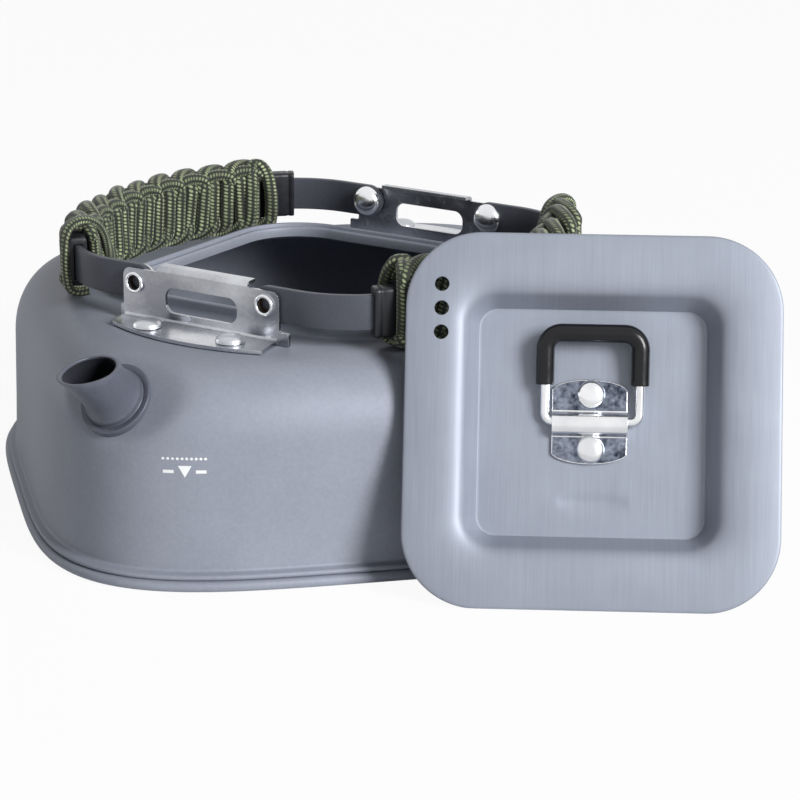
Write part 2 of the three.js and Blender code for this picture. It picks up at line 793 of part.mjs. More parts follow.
function saddle() {
  const section = new THREE.Shape();
  const top = saddleFoot + saddleSheet;
  const stemAngle = Math.asin((top - bailAxis) / knuckleRadius);
  section.moveTo(-saddleHalfLength, saddleFoot);
  section.lineTo(-knuckleBore, saddleFoot);
  section.absarc(0, bailAxis, knuckleBore, Math.PI, 0, true);
  section.lineTo(knuckleBore, saddleFoot);
  section.lineTo(saddleHalfLength, saddleFoot);
  section.lineTo(saddleHalfLength, top);
  section.absarc(0, bailAxis, knuckleRadius, stemAngle, Math.PI - stemAngle);
  section.lineTo(-saddleHalfLength, top);
  section.closePath();
  const strip = extrude(section, 2 * saddleHalfWidth, turnSegments / 2);
  strip.rotateX(Math.PI / 2);
  strip.rotateZ(Math.PI / 2);
  strip.translate(-saddleHalfWidth, 0, 0);

  const outline = new THREE.Shape();
  const rise = saddleHalfLength - saddleShoulder;
  const radius = (saddleHalfWidth ** 2 + rise ** 2) / (2 * rise);
  const halfAngle = Math.asin(saddleHalfWidth / radius);
  outline.moveTo(saddleHalfWidth, saddleShoulder);
  outline.absarc(0, saddleHalfLength - radius, radius, Math.PI / 2 - halfAngle, Math.PI / 2 + halfAngle);
  outline.lineTo(-saddleHalfWidth, -saddleShoulder);
  outline.absarc(0, radius - saddleHalfLength, radius, 1.5 * Math.PI - halfAngle, 1.5 * Math.PI + halfAngle);
  outline.closePath();
  const mask = extrude(outline, 2 * panelDepth, turnSegments / 2);
  mask.translate(0, 0, panelFace - panelDepth / 2);
  const holes = [-1, 1].map((side) => drill(rivetHole, 0, side * lidRivetPlace, 0));
  return cut(overlapOf(strip, mask), ...holes);
}

function lidRivet() {
  const headSeat = saddleFoot + saddleSheet + seatGap;
  const tailSeat = panelFace - lidSheet - seatGap;
  return turned([
    [0, tailSeat - tailThickness],
    [lidRivetTail, tailSeat - tailThickness],
    [lidRivetTail, tailSeat],
    [rivetShank, tailSeat],
    [rivetShank, headSeat],
    [lidRivetHead, headSeat],
    ...domePoints(lidRivetHead, headSeat + seatGap, lidRivetRise),
  ]);
}

// Bail, drawn flat: its turned-in ends lie on the X axis and its loop reaches along +Y
function arcPath(centreX, centreY, radius, from, to) {
  return Array.from({ length: bendSteps + 1 }, (unused, i) => {
    const angle = from + (to - from) * i / bendSteps;
    return new THREE.Vector3(centreX + radius * Math.cos(angle), centreY + radius * Math.sin(angle), 0);
  });
}

function bailLoop() {
  const right = bailHalfWidth - bailCorner;
  const top = bailLength - bailCorner;
  return [
    ...arcPath(right, top, bailCorner, 0, Math.PI / 2),
    ...arcPath(-right, top, bailCorner, Math.PI / 2, Math.PI),
  ];
}

function flatTube(path, radius, sides) {
  return path.map((point, i) => {
    const before = path[Math.max(i - 1, 0)];
    const after = path[Math.min(i + 1, path.length - 1)];
    const forward = after.clone().sub(before).normalize();
    const side = new THREE.Vector3(forward.y, -forward.x, 0);
    return Array.from({ length: sides }, (unused, k) => {
      const angle = (k / sides) * 2 * Math.PI;
      return point.clone().addScaledVector(side, radius * Math.cos(angle)).setZ(radius * Math.sin(angle));
    });
  });
}

function bailWireGeometry() {
  const foot = bailHalfWidth - bailFootCorner;
  const path = [
    new THREE.Vector3(bailEndGap / 2, 0, 0),
    ...arcPath(foot, bailFootCorner, bailFootCorner, -Math.PI / 2, 0),
    ...bailLoop(),
    ...arcPath(-foot, bailFootCorner, bailFootCorner, Math.PI, 1.5 * Math.PI),
    new THREE.Vector3(-bailEndGap / 2, 0, 0),
  ];
  return loft(flatTube(path, bailWire, bailSides), false);
}

function bailSleeveGeometry() {
  const path = [
    new THREE.Vector3(bailHalfWidth, bailSleeveStart, 0),
    ...bailLoop(),
    new THREE.Vector3(-bailHalfWidth, bailSleeveStart, 0),
  ];
  const outer = flatTube(path, bailSleeveRadius, bailSides);
  const inner = flatTube(path, bailWire + seatGap, bailSides);
  return loft([...outer, ...inner.reverse()], true);
}

// Assembly
addMesh(kettle, 'base_pan', basePan(), anodised);
addMesh(kettle, 'body_shell', bodyShell(), anodised);
addMesh(kettle, 'spout', spout(), anodised);

for (const [end, turn] of [['front', 0], ['rear', Math.PI]]) {
  const mount = new THREE.Group();
  mount.rotation.z = turn;
  kettle.add(mount);
  addMesh(mount, `${end}_bracket`, bracket(), steel);
  // Left and right are named as seen from the spout's far side, looking along the handle line
  for (const side of [-1, 1]) {
    const name = side * Math.cos(turn) < 0 ? 'left' : 'right';
    const foot = addMesh(mount, `${end}_foot_rivet_${name}`, footRivet(), steel);
    foot.position.set(side * footRivetPlace, -bracketFace - footRivetReach, 0);
    const pivot = addMesh(mount, `${end}_pivot_rivet_${name}`, pivotRivet(), steel);
    pivot.rotation.x = Math.PI / 2;
    pivot.position.set(side * pivotHalf, 0, pivotHeight);
  }
}

for (const [name, turn] of [['right', 0], ['left', Math.PI]]) {
  const arm = new THREE.Group();
  arm.rotation.z = turn;
  kettle.add(arm);
  addMesh(arm, `${name}_strap`, strap(), strapGrey);
  addMesh(arm, `${name}_grip_core`, gripCore(), blackPlastic);
  addMesh(arm, `${name}_grip_cord`, gripCord(), greenCord);
}

const leanSin = Math.sin(radians(lidLean));
const leanCos = Math.cos(radians(lidLean));
const lidCentreBack = lidHalf * leanSin;
const lidCentreHeight = lidHalf * leanCos + (lidSheet - lidEdgeRound) * leanSin;

// The lid's foot stands where its back just clears the shoulder: its brim and its sunk panel are
// tested against close points of the shoulder, in the directions of the lid
function lidFoot() {
  const faces = [[lidHalf, lidSheet], [mouthHalf, creaseDrop + lidSheet], [panelHalf, panelDepth + lidSheet]];
  const turn = new THREE.Vector3(0, 0, 1);
  let foot = 0;
  for (const point of shoulderRings(0, fineSteps, fineSteps * aroundSegments).flat()) {
    point.applyAxisAngle(turn, -radians(lidTurn));
    const rise = point.z - lidCentreHeight;
    for (const [half, depth] of faces) {
      const back = (rise * leanSin + depth + seatGap) / leanCos;
      const up = back * leanSin + rise * leanCos;
      const beside = Math.max(Math.abs(point.x - lidShift), Math.abs(up)) > half + lidSheet;
      if (!beside) foot = Math.min(foot, point.y - lidCentreBack - back);
    }
  }
  return foot;
}

const lidPlace = new THREE.Group();
lidPlace.rotation.z = radians(lidTurn);
kettle.add(lidPlace);
const lidStand = new THREE.Group();
lidStand.position.set(lidShift, lidFoot(), 0);
lidPlace.add(lidStand);
const lid = new THREE.Group();
lid.rotation.x = radians(90 - lidLean);
lid.position.set(0, lidCentreBack, lidCentreHeight);
lidStand.add(lid);
addMesh(lid, 'lid_shell', lidShell(), brushed);
addMesh(lid, 'lid_saddle', saddle(), steel);
for (const [name, side] of [['upper', 1], ['lower', -1]]) {
  const rivet = addMesh(lid, `lid_rivet_${name}`, lidRivet(), steel);
  rivet.position.y = side * lidRivetPlace;
}
const bail = new THREE.Group();
bail.position.z = bailAxis;
bail.rotation.x = radians(bailTilt);
lid.add(bail);
addMesh(bail, 'bail_wire', bailWireGeometry(), steel);
addMesh(bail, 'bail_sleeve', bailSleeveGeometry(), blackPlastic);

export default kettle;
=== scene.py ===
"""Looks of a square camping kettle with two folding cord-wound handle arms and a loose lid."""

import json
from math import acos, atan2, cos, degrees, pi, radians, sin, sqrt

import bmesh
import bpy
import numpy as np
from mathutils import Matrix, Quaternion, Vector

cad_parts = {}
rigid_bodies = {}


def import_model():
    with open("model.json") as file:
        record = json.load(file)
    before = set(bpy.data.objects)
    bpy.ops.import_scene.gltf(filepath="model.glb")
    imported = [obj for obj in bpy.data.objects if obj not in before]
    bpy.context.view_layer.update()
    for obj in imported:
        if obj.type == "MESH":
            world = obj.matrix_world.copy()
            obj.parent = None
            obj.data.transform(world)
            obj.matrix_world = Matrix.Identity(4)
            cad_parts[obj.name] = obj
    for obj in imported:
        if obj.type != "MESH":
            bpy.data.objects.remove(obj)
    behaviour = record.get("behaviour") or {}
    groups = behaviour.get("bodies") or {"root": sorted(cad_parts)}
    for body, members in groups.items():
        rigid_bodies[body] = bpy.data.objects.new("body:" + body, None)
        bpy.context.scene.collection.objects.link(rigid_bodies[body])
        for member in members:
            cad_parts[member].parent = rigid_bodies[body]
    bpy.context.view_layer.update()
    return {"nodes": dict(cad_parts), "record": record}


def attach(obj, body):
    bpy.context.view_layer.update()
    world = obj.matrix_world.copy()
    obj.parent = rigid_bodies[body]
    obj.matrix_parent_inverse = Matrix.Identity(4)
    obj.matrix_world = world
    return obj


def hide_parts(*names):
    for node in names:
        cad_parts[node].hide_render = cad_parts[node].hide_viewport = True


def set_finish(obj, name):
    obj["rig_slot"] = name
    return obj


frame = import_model()

# Lengths below are in millimetres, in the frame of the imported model
MM = 0.001

# Edges that turn by more degrees than this are bevelled
BEVEL_ANGLE = 40

# Camera
CAMERA_PLACE = (446.6, -676.8, 275.0)
CAMERA_AIM = (-0.5030, 0.8123, -0.2952)
CAMERA_LENS = 126.0
CAMERA_ROLL = 0.48
SENSOR = 36.0

# Kettle body
POWER = 4
PAN_HALF = 93.4
PAN_RIM = 3.1
PAN_FLOOR = 1.2
PAN_MIDDLE = 60.0
PAN_UNDER = 86.5
PAN_SEAM = 5.4
PAN_HEM = 3.2
PAN_HEM_ROUND = 0.8
PAN_EDGE_ROUND = 1.5
SEAM_HALF = 92.2
SEAM_BASE = 3.15
SEAM_TOP = 5.0
SEAM_ROUND = 0.8
WALL_FOOT_ROUND = 0.9
WALL_FOOT_HALF = 89.9
WALL_TOP_HALF = 89.2
SHOULDER_START = 40.0
SHOULDER_TOP = 60.7
SHOULDER_RUN = 18.0
OPENING_HALF = 50.0
OPENING_CORNER = 22.0
LIP_TOP = 65.1
SHEET = 1.2
CUT_GAP = 0.3
CUT_REACH = 12
PATCH_REACH = 99.4
PATCH_HEIGHT = 49.6
PATCH_TILT = 36.0
PATCH_BLEND = 0.35
PATCH_DIP = 0.8

# Opening: a narrow lip, a groove and an upright band inside it
LIP_SKIRT = 5.0
LIP_FOOT_ROUND = 2.2
LIP_ROUND = 0.6
LIP_CREST_HALF = 48.7
LIP_CREST_ROUND = 0.3
GROOVE_OUTER = 48.3
GROOVE_INNER = 47.4
GROOVE_DEPTH = 1.5
BAND_HALF = 46.6
BAND_ROUND = 0.75
BAND_DROP = 1.4
BAND_FACE = ((45.75, 62.6), (45.9, 61.4))
BAND_BACK = ((46.7, 61.4), (46.7, 62.8), (48.8, 63.2))
LIP_INSIDE = 1.0
THROAT_HALF = 51.0

# Spout
SPOUT_TILT = 41.5
SPOUT_LENGTH = 18.7
SPOUT_RADIUS = 7.3
SPOUT_BORE = 6.1
SPOUT_SIDES = 64
SPOUT_FOOT = -2.8
COLLAR_RADIUS = 10.3
COLLAR_ROUND = 0.35
# Dark sheet just inside the spout's bore: painted shade, standing in for the bore's own shadow
SHADE_LINING_FOOT = -2.7
SHADE_LINING_GAP = 0.06
SHADE_LINING_BACK = 0.2
ROOT_SHIFT = (-2.0, 0.0, 0.35)
TIP_SHIFT = (0.1, 0.0, -0.1)
MOUTH_TILT = 81.4

# Brackets and pivots
BRACKET_FACE = 61.9
BRACKET_SHEET = 1.0
BRACKET_FOOT = 61.0
PLATE_TOP = 75.9
PLATE_HALF = 27.0
PLATE_ROUND = 2.4
PLATE_SHIFT = 0.6
SLOT_HALF = 12.3
SLOT_ROUND = 3.0
SLOT_LOW = 3.6
SLOT_HEIGHT = 7.4
FOOT_TIP = -24.4
FOOT_END = 28.3
FOOT_MIDDLE = 4.45
FOOT_BOW = 66.0
FOOT_DEPTH = 14.6
TAB_START = -14.5
TAB_WIDTH = 30.9
TAB_BEND = 88
TAB_INNER = 0.7
TAB_REACH = 2.4
FILLET_START = -26.0
FILLET_WIDTH = 52.2
FILLET_ROUND = 0.9
FILLET_SINK = 0.1
PIVOT_HOLE = 2.4
PIVOT_HALF = 22.3
PIVOT_HEIGHT = 71.8
FOOT_RIVET_X = 14.2
FOOT_RIVET_SHIFT = 1.8
FOOT_RIVET_Y = 70.5

# Rivets
INNER_HEAD = 58.4
LID_INNER_HEAD = -10.4
LID_RIVET_PLACE = 7.55

# Arms
STRAP_MIDDLE = 60.6
STRAP_HEIGHT = 10.0
STRAP_THICKNESS = 2.0
STRAP_ROUND = 0.35
STRAP_FIT = 0.6
ARM_REACH = 68.5
BOW_RADIUS = 90.0
CORNER_RADIUS = 27.0
CORE_LENGTH = 116.1
CORE_HEIGHT = 14.4
CORE_THICKNESS = 5.6
CORE_ROUND = 2.6
CORD_TURNS = 19
CORD_PITCH = 5.08
CORD_SIDES = 14
CORD_WIDTH = 4.9
CORD_THICKNESS = 3.0
WEAVE_HALF_THICKNESS = 4.3
WEAVE_HALF_HEIGHT = 8.5
WEAVE_CORNER = 2.9
TURN_STEPS = 36
KNOTS = 9

CORD_STAND = {"right": 2.4, "left": 0.0}
SLEEVE_ENDS = {"right": (-56.4, 58.06), "left": (-60.8, 58.06)}

# Lid
HOLE_RADIUS = 2.0
HOLE_PLACE = (-41.3, 36.6)
HOLE_SPACING = 6.55
LID_FOOT = (122.0, -55.5)
LID_TURN = 29.5
LID_LEAN = 22.2
LID_HALF = 51.0
LID_CORNER = 20.5
LID_SHEET = 1.0
PANEL_DEPTH = 8.0
BAIL_AXIS = -6.45
BAIL_TILT = 9.0
RECESS_RISE = 0.45
PANEL_RISE = 0.1
PANEL_SINK = 0.92
SINK_HALF = 34.5
SINK_RUN = 3.5
RISE_HALF = 44
RISE_RUN = 8
SADDLE_SHIFT = 0.6
BAIL_HALF = 12.9
BAIL_LENGTH = 24.1
BAIL_CORNER = 4.4
BAIL_FOOT = 2.2
BAIL_WIRE = 1.25
COVER_RADIUS = 2.5
COVER_BORE = 1.4

# Light
FLOOR_REACH = 6.0
FLOOR_GREY = 0.86
FLOOR_SHARE = 0.94
FLOOR_IN_METAL = 0.5
WORLD_LIGHT = 0.11


def new_object(name, data):
    obj = bpy.data.objects.new(name, data)
    bpy.context.scene.collection.objects.link(obj)
    return obj


def make_camera():
    data = bpy.data.cameras.new("camera")
    data.sensor_width = SENSOR
    data.lens = CAMERA_LENS
    camera = new_object("camera", data)
    camera.rotation_mode = "QUATERNION"
    aim = Vector(CAMERA_AIM).to_track_quat("-Z", "Y")
    camera.rotation_quaternion = aim @ Quaternion((0, 0, 1), radians(CAMERA_ROLL))
    camera.location = Vector(CAMERA_PLACE) * MM
    bpy.context.scene.camera = camera


make_camera()


# Mesh helpers


def shade(mesh, sharp):
    """Smooth shading, with edges that turn more than an angle in degrees left crisp."""
    mesh.shade_smooth()
    mesh.set_sharp_from_angle(angle=radians(sharp))


def add_object(name, mesh, body, slot, replaced=(), sharp=38):
    obj = new_object(name, mesh)
    shade(mesh, sharp)
    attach(obj, body)
    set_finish(obj, slot)
    if replaced:
        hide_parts(*replaced)
    return obj


def build_mesh(name, points, faces, corner_uvs):
    """Mesh from points in millimetres, with one texture coordinate for each face corner."""
    mesh = bpy.data.meshes.new(name)
    mesh.from_pydata([tuple(p) for p in np.asarray(points, float) * MM], [], faces)
    layer = mesh.uv_layers.new(name="surface")
    layer.data.foreach_set("uv", np.asarray(corner_uvs, np.float32).ravel())
    solid = bmesh.new()
    solid.from_mesh(mesh)
    if solid.calc_volume(signed=True) < 0:
        bmesh.ops.reverse_faces(solid, faces=solid.faces)
    solid.to_mesh(mesh)
    solid.free()
    mesh.update()
    return mesh


def loft(name, rings, loop=False, uv_of=None):
    """Closed mesh through rings of equal point counts, capped unless it loops."""
    rings = [np.asarray(r, float) for r in rings]
    count = len(rings[0])
    points = np.concatenate(rings)
    faces = []
    uvs = []
    lengths = [0.0]
    for a, b in zip(rings, rings[1:]):
        lengths.append(lengths[-1] + float(np.linalg.norm(b - a, axis=1).mean()))
    bands = len(rings) if loop else len(rings) - 1
    for j in range(bands):
        k = (j + 1) % len(rings)
        for i in range(count):
            n = (i + 1) % count
            faces.append((j * count + i, j * count + n, k * count + n, k * count + i))
            if uv_of is None:
                end = lengths[k] if k else lengths[-1]
                uvs += [(lengths[j], i / count), (lengths[j], (i + 1) / count)]
                uvs += [(end, (i + 1) / count), (end, i / count)]
    if not loop:
        faces.append(tuple(range(count))[::-1])
        faces.append(tuple((len(rings) - 1) * count + i for i in range(count)))
        if uv_of is None:
            uvs += [(lengths[0], i / count) for i in range(count)][::-1]
            uvs += [(lengths[-1], i / count) for i in range(count)]
    if uv_of is not None:
        uvs = [uv_of(points[v]) for face in faces for v in face]
    return build_mesh(name, points, faces, uvs)


def full_turn(count):
    return np.linspace(0, 2 * pi, count, endpoint=False)


def ramp(distance, run):
    """Share that grows from 0 to 1 over a run."""
    return min(max(distance / run, 0), 1)


def rising(angle):
    """Direction that points along -Y and up by an angle."""
    return np.array([0, -cos(radians(angle)), sin(radians(angle))])


def arc(cx, cy, radius, start, end, steps):
    """Points of an arc, with its angles in degrees."""
    angles = np.radians(np.linspace(start, end, steps + 1))
    return [(cx + radius * cos(a), cy + radius * sin(a)) for a in angles]


def turned(name, profile, segments=48):
    """Solid of revolution about Z from radius and height pairs, between two points on the axis."""
    rings = []
    for radius, z in profile:
        angles = full_turn(segments)
        radius = max(radius, 0.01)
        rings.append(polar_ring(angles, radius, z))
    return loft(name, rings)


def place_mesh(mesh, matrix):
    """Moves a mesh by a matrix whose translation is in millimetres."""
    moved = matrix.copy()
    moved.translation = matrix.translation * MM
    mesh.transform(moved)
    mesh.update()
    return mesh


def merge(name, meshes):
    solid = bmesh.new()
    for mesh in meshes:
        solid.from_mesh(mesh)
    merged = bpy.data.meshes.new(name)
    solid.to_mesh(merged)
    solid.free()
    return merged


def combine(obj, mesh, operation):
    """Changes an object by the shape of another closed mesh."""
    tool = new_object("tool", mesh)
    modifier = obj.modifiers.new("combine", "BOOLEAN")
    modifier.operation = operation
    modifier.solver = "EXACT"
    modifier.object = tool
    graph = bpy.context.evaluated_depsgraph_get()
    result = bpy.data.meshes.new_from_object(obj.evaluated_get(graph))
    obj.modifiers.remove(modifier)
    bpy.data.objects.remove(tool)
    obj.data = result


def clean(mesh, distance, angle, outwards):
    """Joins points that meet and dissolves the edges between flush faces."""
    solid = bmesh.new()
    solid.from_mesh(mesh)
    bmesh.ops.remove_doubles(solid, verts=solid.verts, dist=distance)
    bmesh.ops.dissolve_limit(solid, angle_limit=angle, verts=solid.verts, edges=solid.edges)
    if outwards:
        bmesh.ops.recalc_face_normals(solid, faces=solid.faces)
    solid.to_mesh(mesh)
    solid.free()


def fuse(name, meshes):
    """Unites overlapping closed meshes into one skin."""
    base = new_object(name, meshes[0])
    for mesh in meshes[1:]:
        combine(base, mesh, "UNION")
    fused = base.data
    bpy.data.objects.remove(base)
    clean(fused, 0.000002, 0.01, False)
    fused.name = name
    return fused


def bevel(obj, width, segments):
    modifier = obj.modifiers.new("bevel", "BEVEL")
    modifier.width = width * MM
    modifier.segments = segments
    modifier.limit_method = "ANGLE"
    modifier.angle_limit = radians(BEVEL_ANGLE)
    modifier.harden_normals = True


def cut_with(obj, meshes, sharp):
    """Cuts the shapes of other closed meshes out of an object."""
    for mesh in meshes:
        combine(obj, mesh, "DIFFERENCE")
    shade(obj.data, sharp)


def rod(radius, start, end):
    """Straight cylinder between two points."""
    along = Vector(end) - Vector(start)
    length = along.length
    mesh = turned("rod", [(0, 0), (radius, 0), (radius, length), (0, length)], 40)
    turn = along.to_track_quat("Z", "Y").to_matrix().to_4x4()
    return place_mesh(mesh, Matrix.Translation(start) @ turn)


# Outlines seen from above


def body_radius(half, angles):
    turned_by = angles - pi / 4
    across = np.abs(np.cos(turned_by)) ** POWER + np.abs(np.sin(turned_by)) ** POWER
    return half / across ** (1 / POWER)


def square_radius(half, corner, angles):
    c = np.abs(np.cos(angles))
    s = np.abs(np.sin(angles))
    flat = half / np.maximum(c, s)
    inner = half - corner
    along = inner * (c + s)
    inside = np.maximum(along * along - 2 * inner * inner + corner * corner, 0)
    return np.where(np.minimum(c, s) * flat <= inner, flat, along + np.sqrt(inside))


BODY_ANGLES = full_turn(256)
SIDE = np.linspace(-1, 1, 64, endpoint=False)
LID_ANGLES = np.concatenate(
    [pi / 4 + q * pi / 2 + pi / 4 * np.sign(SIDE) * np.abs(SIDE) ** 1.5 for q in range(4)]
)


def polar_ring(angles, radii, z):
    return np.stack([radii * np.cos(angles), radii * np.sin(angles), np.full(len(angles), z)], 1)


def arc_rings(ring, *bend):
    """Rings along an arc of half widths and heights."""
    return [ring(half, z) for half, z in arc(*bend)]


def body_ring(half, z):
    return polar_ring(BODY_ANGLES, body_radius(half, BODY_ANGLES), z)


def opening_ring(half, z):
    corner = max(OPENING_CORNER + half - OPENING_HALF, 4)
    return polar_ring(BODY_ANGLES, square_radius(half, corner, BODY_ANGLES), z)


PATCH_NORMAL = rising(PATCH_TILT)
PATCH_CENTRE = np.array([0, -PATCH_REACH, PATCH_HEIGHT])


def press_patch(ring, depth):
    """Presses the corner under the spout flat, with a soft edge."""
    outside = (ring - PATCH_CENTRE) @ PATCH_NORMAL + depth + PATCH_DIP
    pressed = -PATCH_BLEND * np.logaddexp(0, -outside / PATCH_BLEND)
    return ring + (pressed - outside)[:, None] * PATCH_NORMAL


def shoulder_rings(depth, steps):
    rings = []
    for z in (20, 30, 36):
        half = WALL_FOOT_HALF + (WALL_TOP_HALF - WALL_FOOT_HALF) * z / SHOULDER_START
        rings.append(press_patch(body_ring(half - depth, z), depth))
    for angle in np.linspace(0, pi / 2, steps + 1):
        half = WALL_TOP_HALF - depth - (SHOULDER_RUN - depth) * (1 - cos(angle))
        z = SHOULDER_START + (SHOULDER_TOP - SHOULDER_START - depth) * sin(angle)
        rings.append(press_patch(body_ring(half, z), depth))
    return rings


def make_body():
    foot = LIP_FOOT_ROUND
    crest = LIP_CREST_ROUND
    bend = WALL_FOOT_ROUND
    groove = LIP_TOP - GROOVE_DEPTH
    rings = arc_rings(body_ring, SEAM_HALF - SEAM_ROUND, SEAM_BASE + SEAM_ROUND, SEAM_ROUND, -90, 90, 8)
    rings += arc_rings(body_ring, WALL_FOOT_HALF + bend, SEAM_TOP + bend, bend, 270, 180, 5)
    rings += shoulder_rings(0, 20)
    rings += [opening_ring(OPENING_HALF + LIP_SKIRT, SHOULDER_TOP)]
    rings += arc_rings(opening_ring, OPENING_HALF + foot, SHOULDER_TOP + foot, foot, 270, 180, 6)
    rings += arc_rings(opening_ring, OPENING_HALF - LIP_ROUND, LIP_TOP - LIP_ROUND, LIP_ROUND, 0, 90, 5)
    rings += arc_rings(opening_ring, LIP_CREST_HALF, LIP_TOP - crest, crest, 90, 180, 3)
    rings += [opening_ring(GROOVE_OUTER, groove), opening_ring(GROOVE_INNER, groove)]
    rings += arc_rings(opening_ring, BAND_HALF, LIP_TOP - BAND_DROP, BAND_ROUND, 10, 180, 8)
    rings += [opening_ring(half, z) for half, z in BAND_FACE + BAND_BACK]
    rings += [opening_ring(BAND_BACK[-1][0], SHOULDER_TOP + LIP_INSIDE)]
    rings += [opening_ring(THROAT_HALF, SHOULDER_TOP - SHEET)]
    rings += shoulder_rings(SHEET, 12)[::-1]
    rings += [body_ring(WALL_FOOT_HALF - SHEET, SEAM_BASE)]
    mesh = loft("body", rings, loop=True)
    obj = add_object("body", mesh, "kettle", "anodised_aluminium", ["body_shell"], 50)
    reach = Vector(rising(SPOUT_TILT)) * CUT_REACH
    centre = Vector(PATCH_CENTRE) + Vector(ROOT_SHIFT)
    cut_with(obj, [rod(SPOUT_RADIUS + CUT_GAP, centre - reach, centre + reach)], 50)


def make_pan():
    seam = PAN_HALF - PAN_SEAM
    hem = PAN_HEM_ROUND
    edge = PAN_EDGE_ROUND
    rings = [body_ring(PAN_MIDDLE, 0), body_ring(PAN_UNDER, 0)]
    rings += arc_rings(body_ring, PAN_HALF - PAN_HEM, hem, hem, -90, -45, 3)
    rings += arc_rings(body_ring, PAN_HALF - edge, PAN_RIM - edge, edge, -70, 90, 12)
    rings += [body_ring(seam + 0.6, PAN_RIM), body_ring(seam, PAN_RIM - 0.3)]
    rings += [body_ring(seam - 0.6, PAN_FLOOR + 0.4), body_ring(seam - 1.4, PAN_FLOOR)]
    rings += [body_ring(PAN_MIDDLE, PAN_FLOOR)]
    add_object("pan", loft("pan", rings), "kettle", "anodised_aluminium", ["base_pan"], 50)


def make_spout():
    """Tube with a collar at its root, and a dark sheet just inside its bore that stands for the bore's
    shadow: painted shade.
    """
    tilt = radians(SPOUT_TILT)
    axis = rising(SPOUT_TILT)
    up = np.array([0, sin(tilt), cos(tilt)])
    side = np.array([1.0, 0, 0])
    mouth_normal = rising(MOUTH_TILT)
    mouth = PATCH_CENTRE + axis * SPOUT_LENGTH
    angles = full_turn(SPOUT_SIDES)

    def settle(base, reach):
        """Points along the axis, on a line that ends a little aside at the root."""
        share = np.clip(reach / SPOUT_LENGTH, 0, 1)[:, None]
        return base + reach[:, None] * axis + np.array(ROOT_SHIFT) * (1 - share) + np.array(TIP_SHIFT) * share

    def spokes(radius):
        return PATCH_CENTRE + radius * (np.cos(angles)[:, None] * side + np.sin(angles)[:, None] * up)

    def ring(radius, height):
        return settle(spokes(radius), np.full(len(angles), height))

    def mouth_ring(radius, pull=0.0):
        base = spokes(radius)
        return settle(base, ((mouth - base) @ mouth_normal) / (axis @ mouth_normal) - pull)

    def flared(radius, flare, inset=0.0):
        return [mouth_ring(radius + swell - inset, pull) for pull, swell in flare]

    profile = [(SPOUT_BORE, SPOUT_FOOT), (10.2, SPOUT_FOOT), (10.5, -2.6)]
    profile += arc(COLLAR_RADIUS, 0.15, COLLAR_ROUND, 0, 90, 5)
    profile += [(9.7, 0.45), (9.2, 0.38), (8.75, 0.25), (8.55, 0.5), (8.5, 1.2), (8.55, 1.8), (8.48, 2.2)]
    profile += [(8.28, 2.6), (8.05, 3.3), (7.82, 4.4), (7.58, 5.8), (7.42, 7.4), (7.32, 9.0)]
    shell = [ring(radius, height) for radius, height in profile]
    shell += flared(SPOUT_RADIUS, ((6, 0.12), (3, 0.27), (0.5, 0.47), (0.15, 0.4), (0, 0.22)))
    shell += flared(SPOUT_BORE, ((0, 0.95), (0.2, 0.75), (0.6, 0.62), (3, 0.3), (6, 0.14)))
    mesh = loft("spout_shell", shell, loop=True)
    add_object("spout_shell", mesh, "kettle", "anodised_aluminium", ["spout"], 50)

    # Dark sheet just inside the bore: painted shade
    flare = ((0.9, 0.58), (3, 0.3), (6, 0.14))
    shade_lining = flared(SPOUT_BORE, flare, SHADE_LINING_GAP)
    shade_lining += [ring(SPOUT_BORE - gap, SHADE_LINING_FOOT) for gap in (SHADE_LINING_GAP, SHADE_LINING_BACK)]
    shade_lining += flared(SPOUT_BORE, flare, SHADE_LINING_BACK)[::-1]
    mesh = loft("spout_bore", shade_lining, loop=True)
    add_object("spout_bore", mesh, "kettle", "anodised_aluminium", (), 40)


# Sheet metal drawn flat as a polygon with holes


def extruded(name, outline, holes, depth, matrix):
    """A flat sheet from an outline and holes, extruded along its own Z."""
    curve = bpy.data.curves.new(name, "CURVE")
    curve.dimensions = "2D"
    curve.fill_mode = "BOTH"
    for loop in [outline, *holes]:
        spline = curve.splines.new("POLY")
        spline.points.add(len(loop) - 1)
        for point, (x, y) in zip(spline.points, loop):
            point.co = (x, y, 0, 1)
        spline.use_cyclic_u = True
    curve.extrude = depth / 2
    holder = bpy.data.objects.new(name, curve)
    mesh = bpy.data.meshes.new_from_object(holder)
    bpy.data.objects.remove(holder)
    bpy.data.curves.remove(curve)
    clean(mesh, 0.001, 0.001, True)
    mesh.transform(Matrix.Translation((0, 0, depth / 2)))
    mesh.transform(matrix)
    mesh.transform(Matrix.Scale(MM, 4))
    return mesh


def circle(x, y, radius, steps=40):
    return arc(x, y, radius, 0, 360 - 360 / steps, steps - 1)


def sideways(start):
    """Lays a section out along X, from its start."""
    return Matrix(((0, 0, 1, start), (-1, 0, 0, 0), (0, 1, 0, 0), (0, 0, 0, 1)))


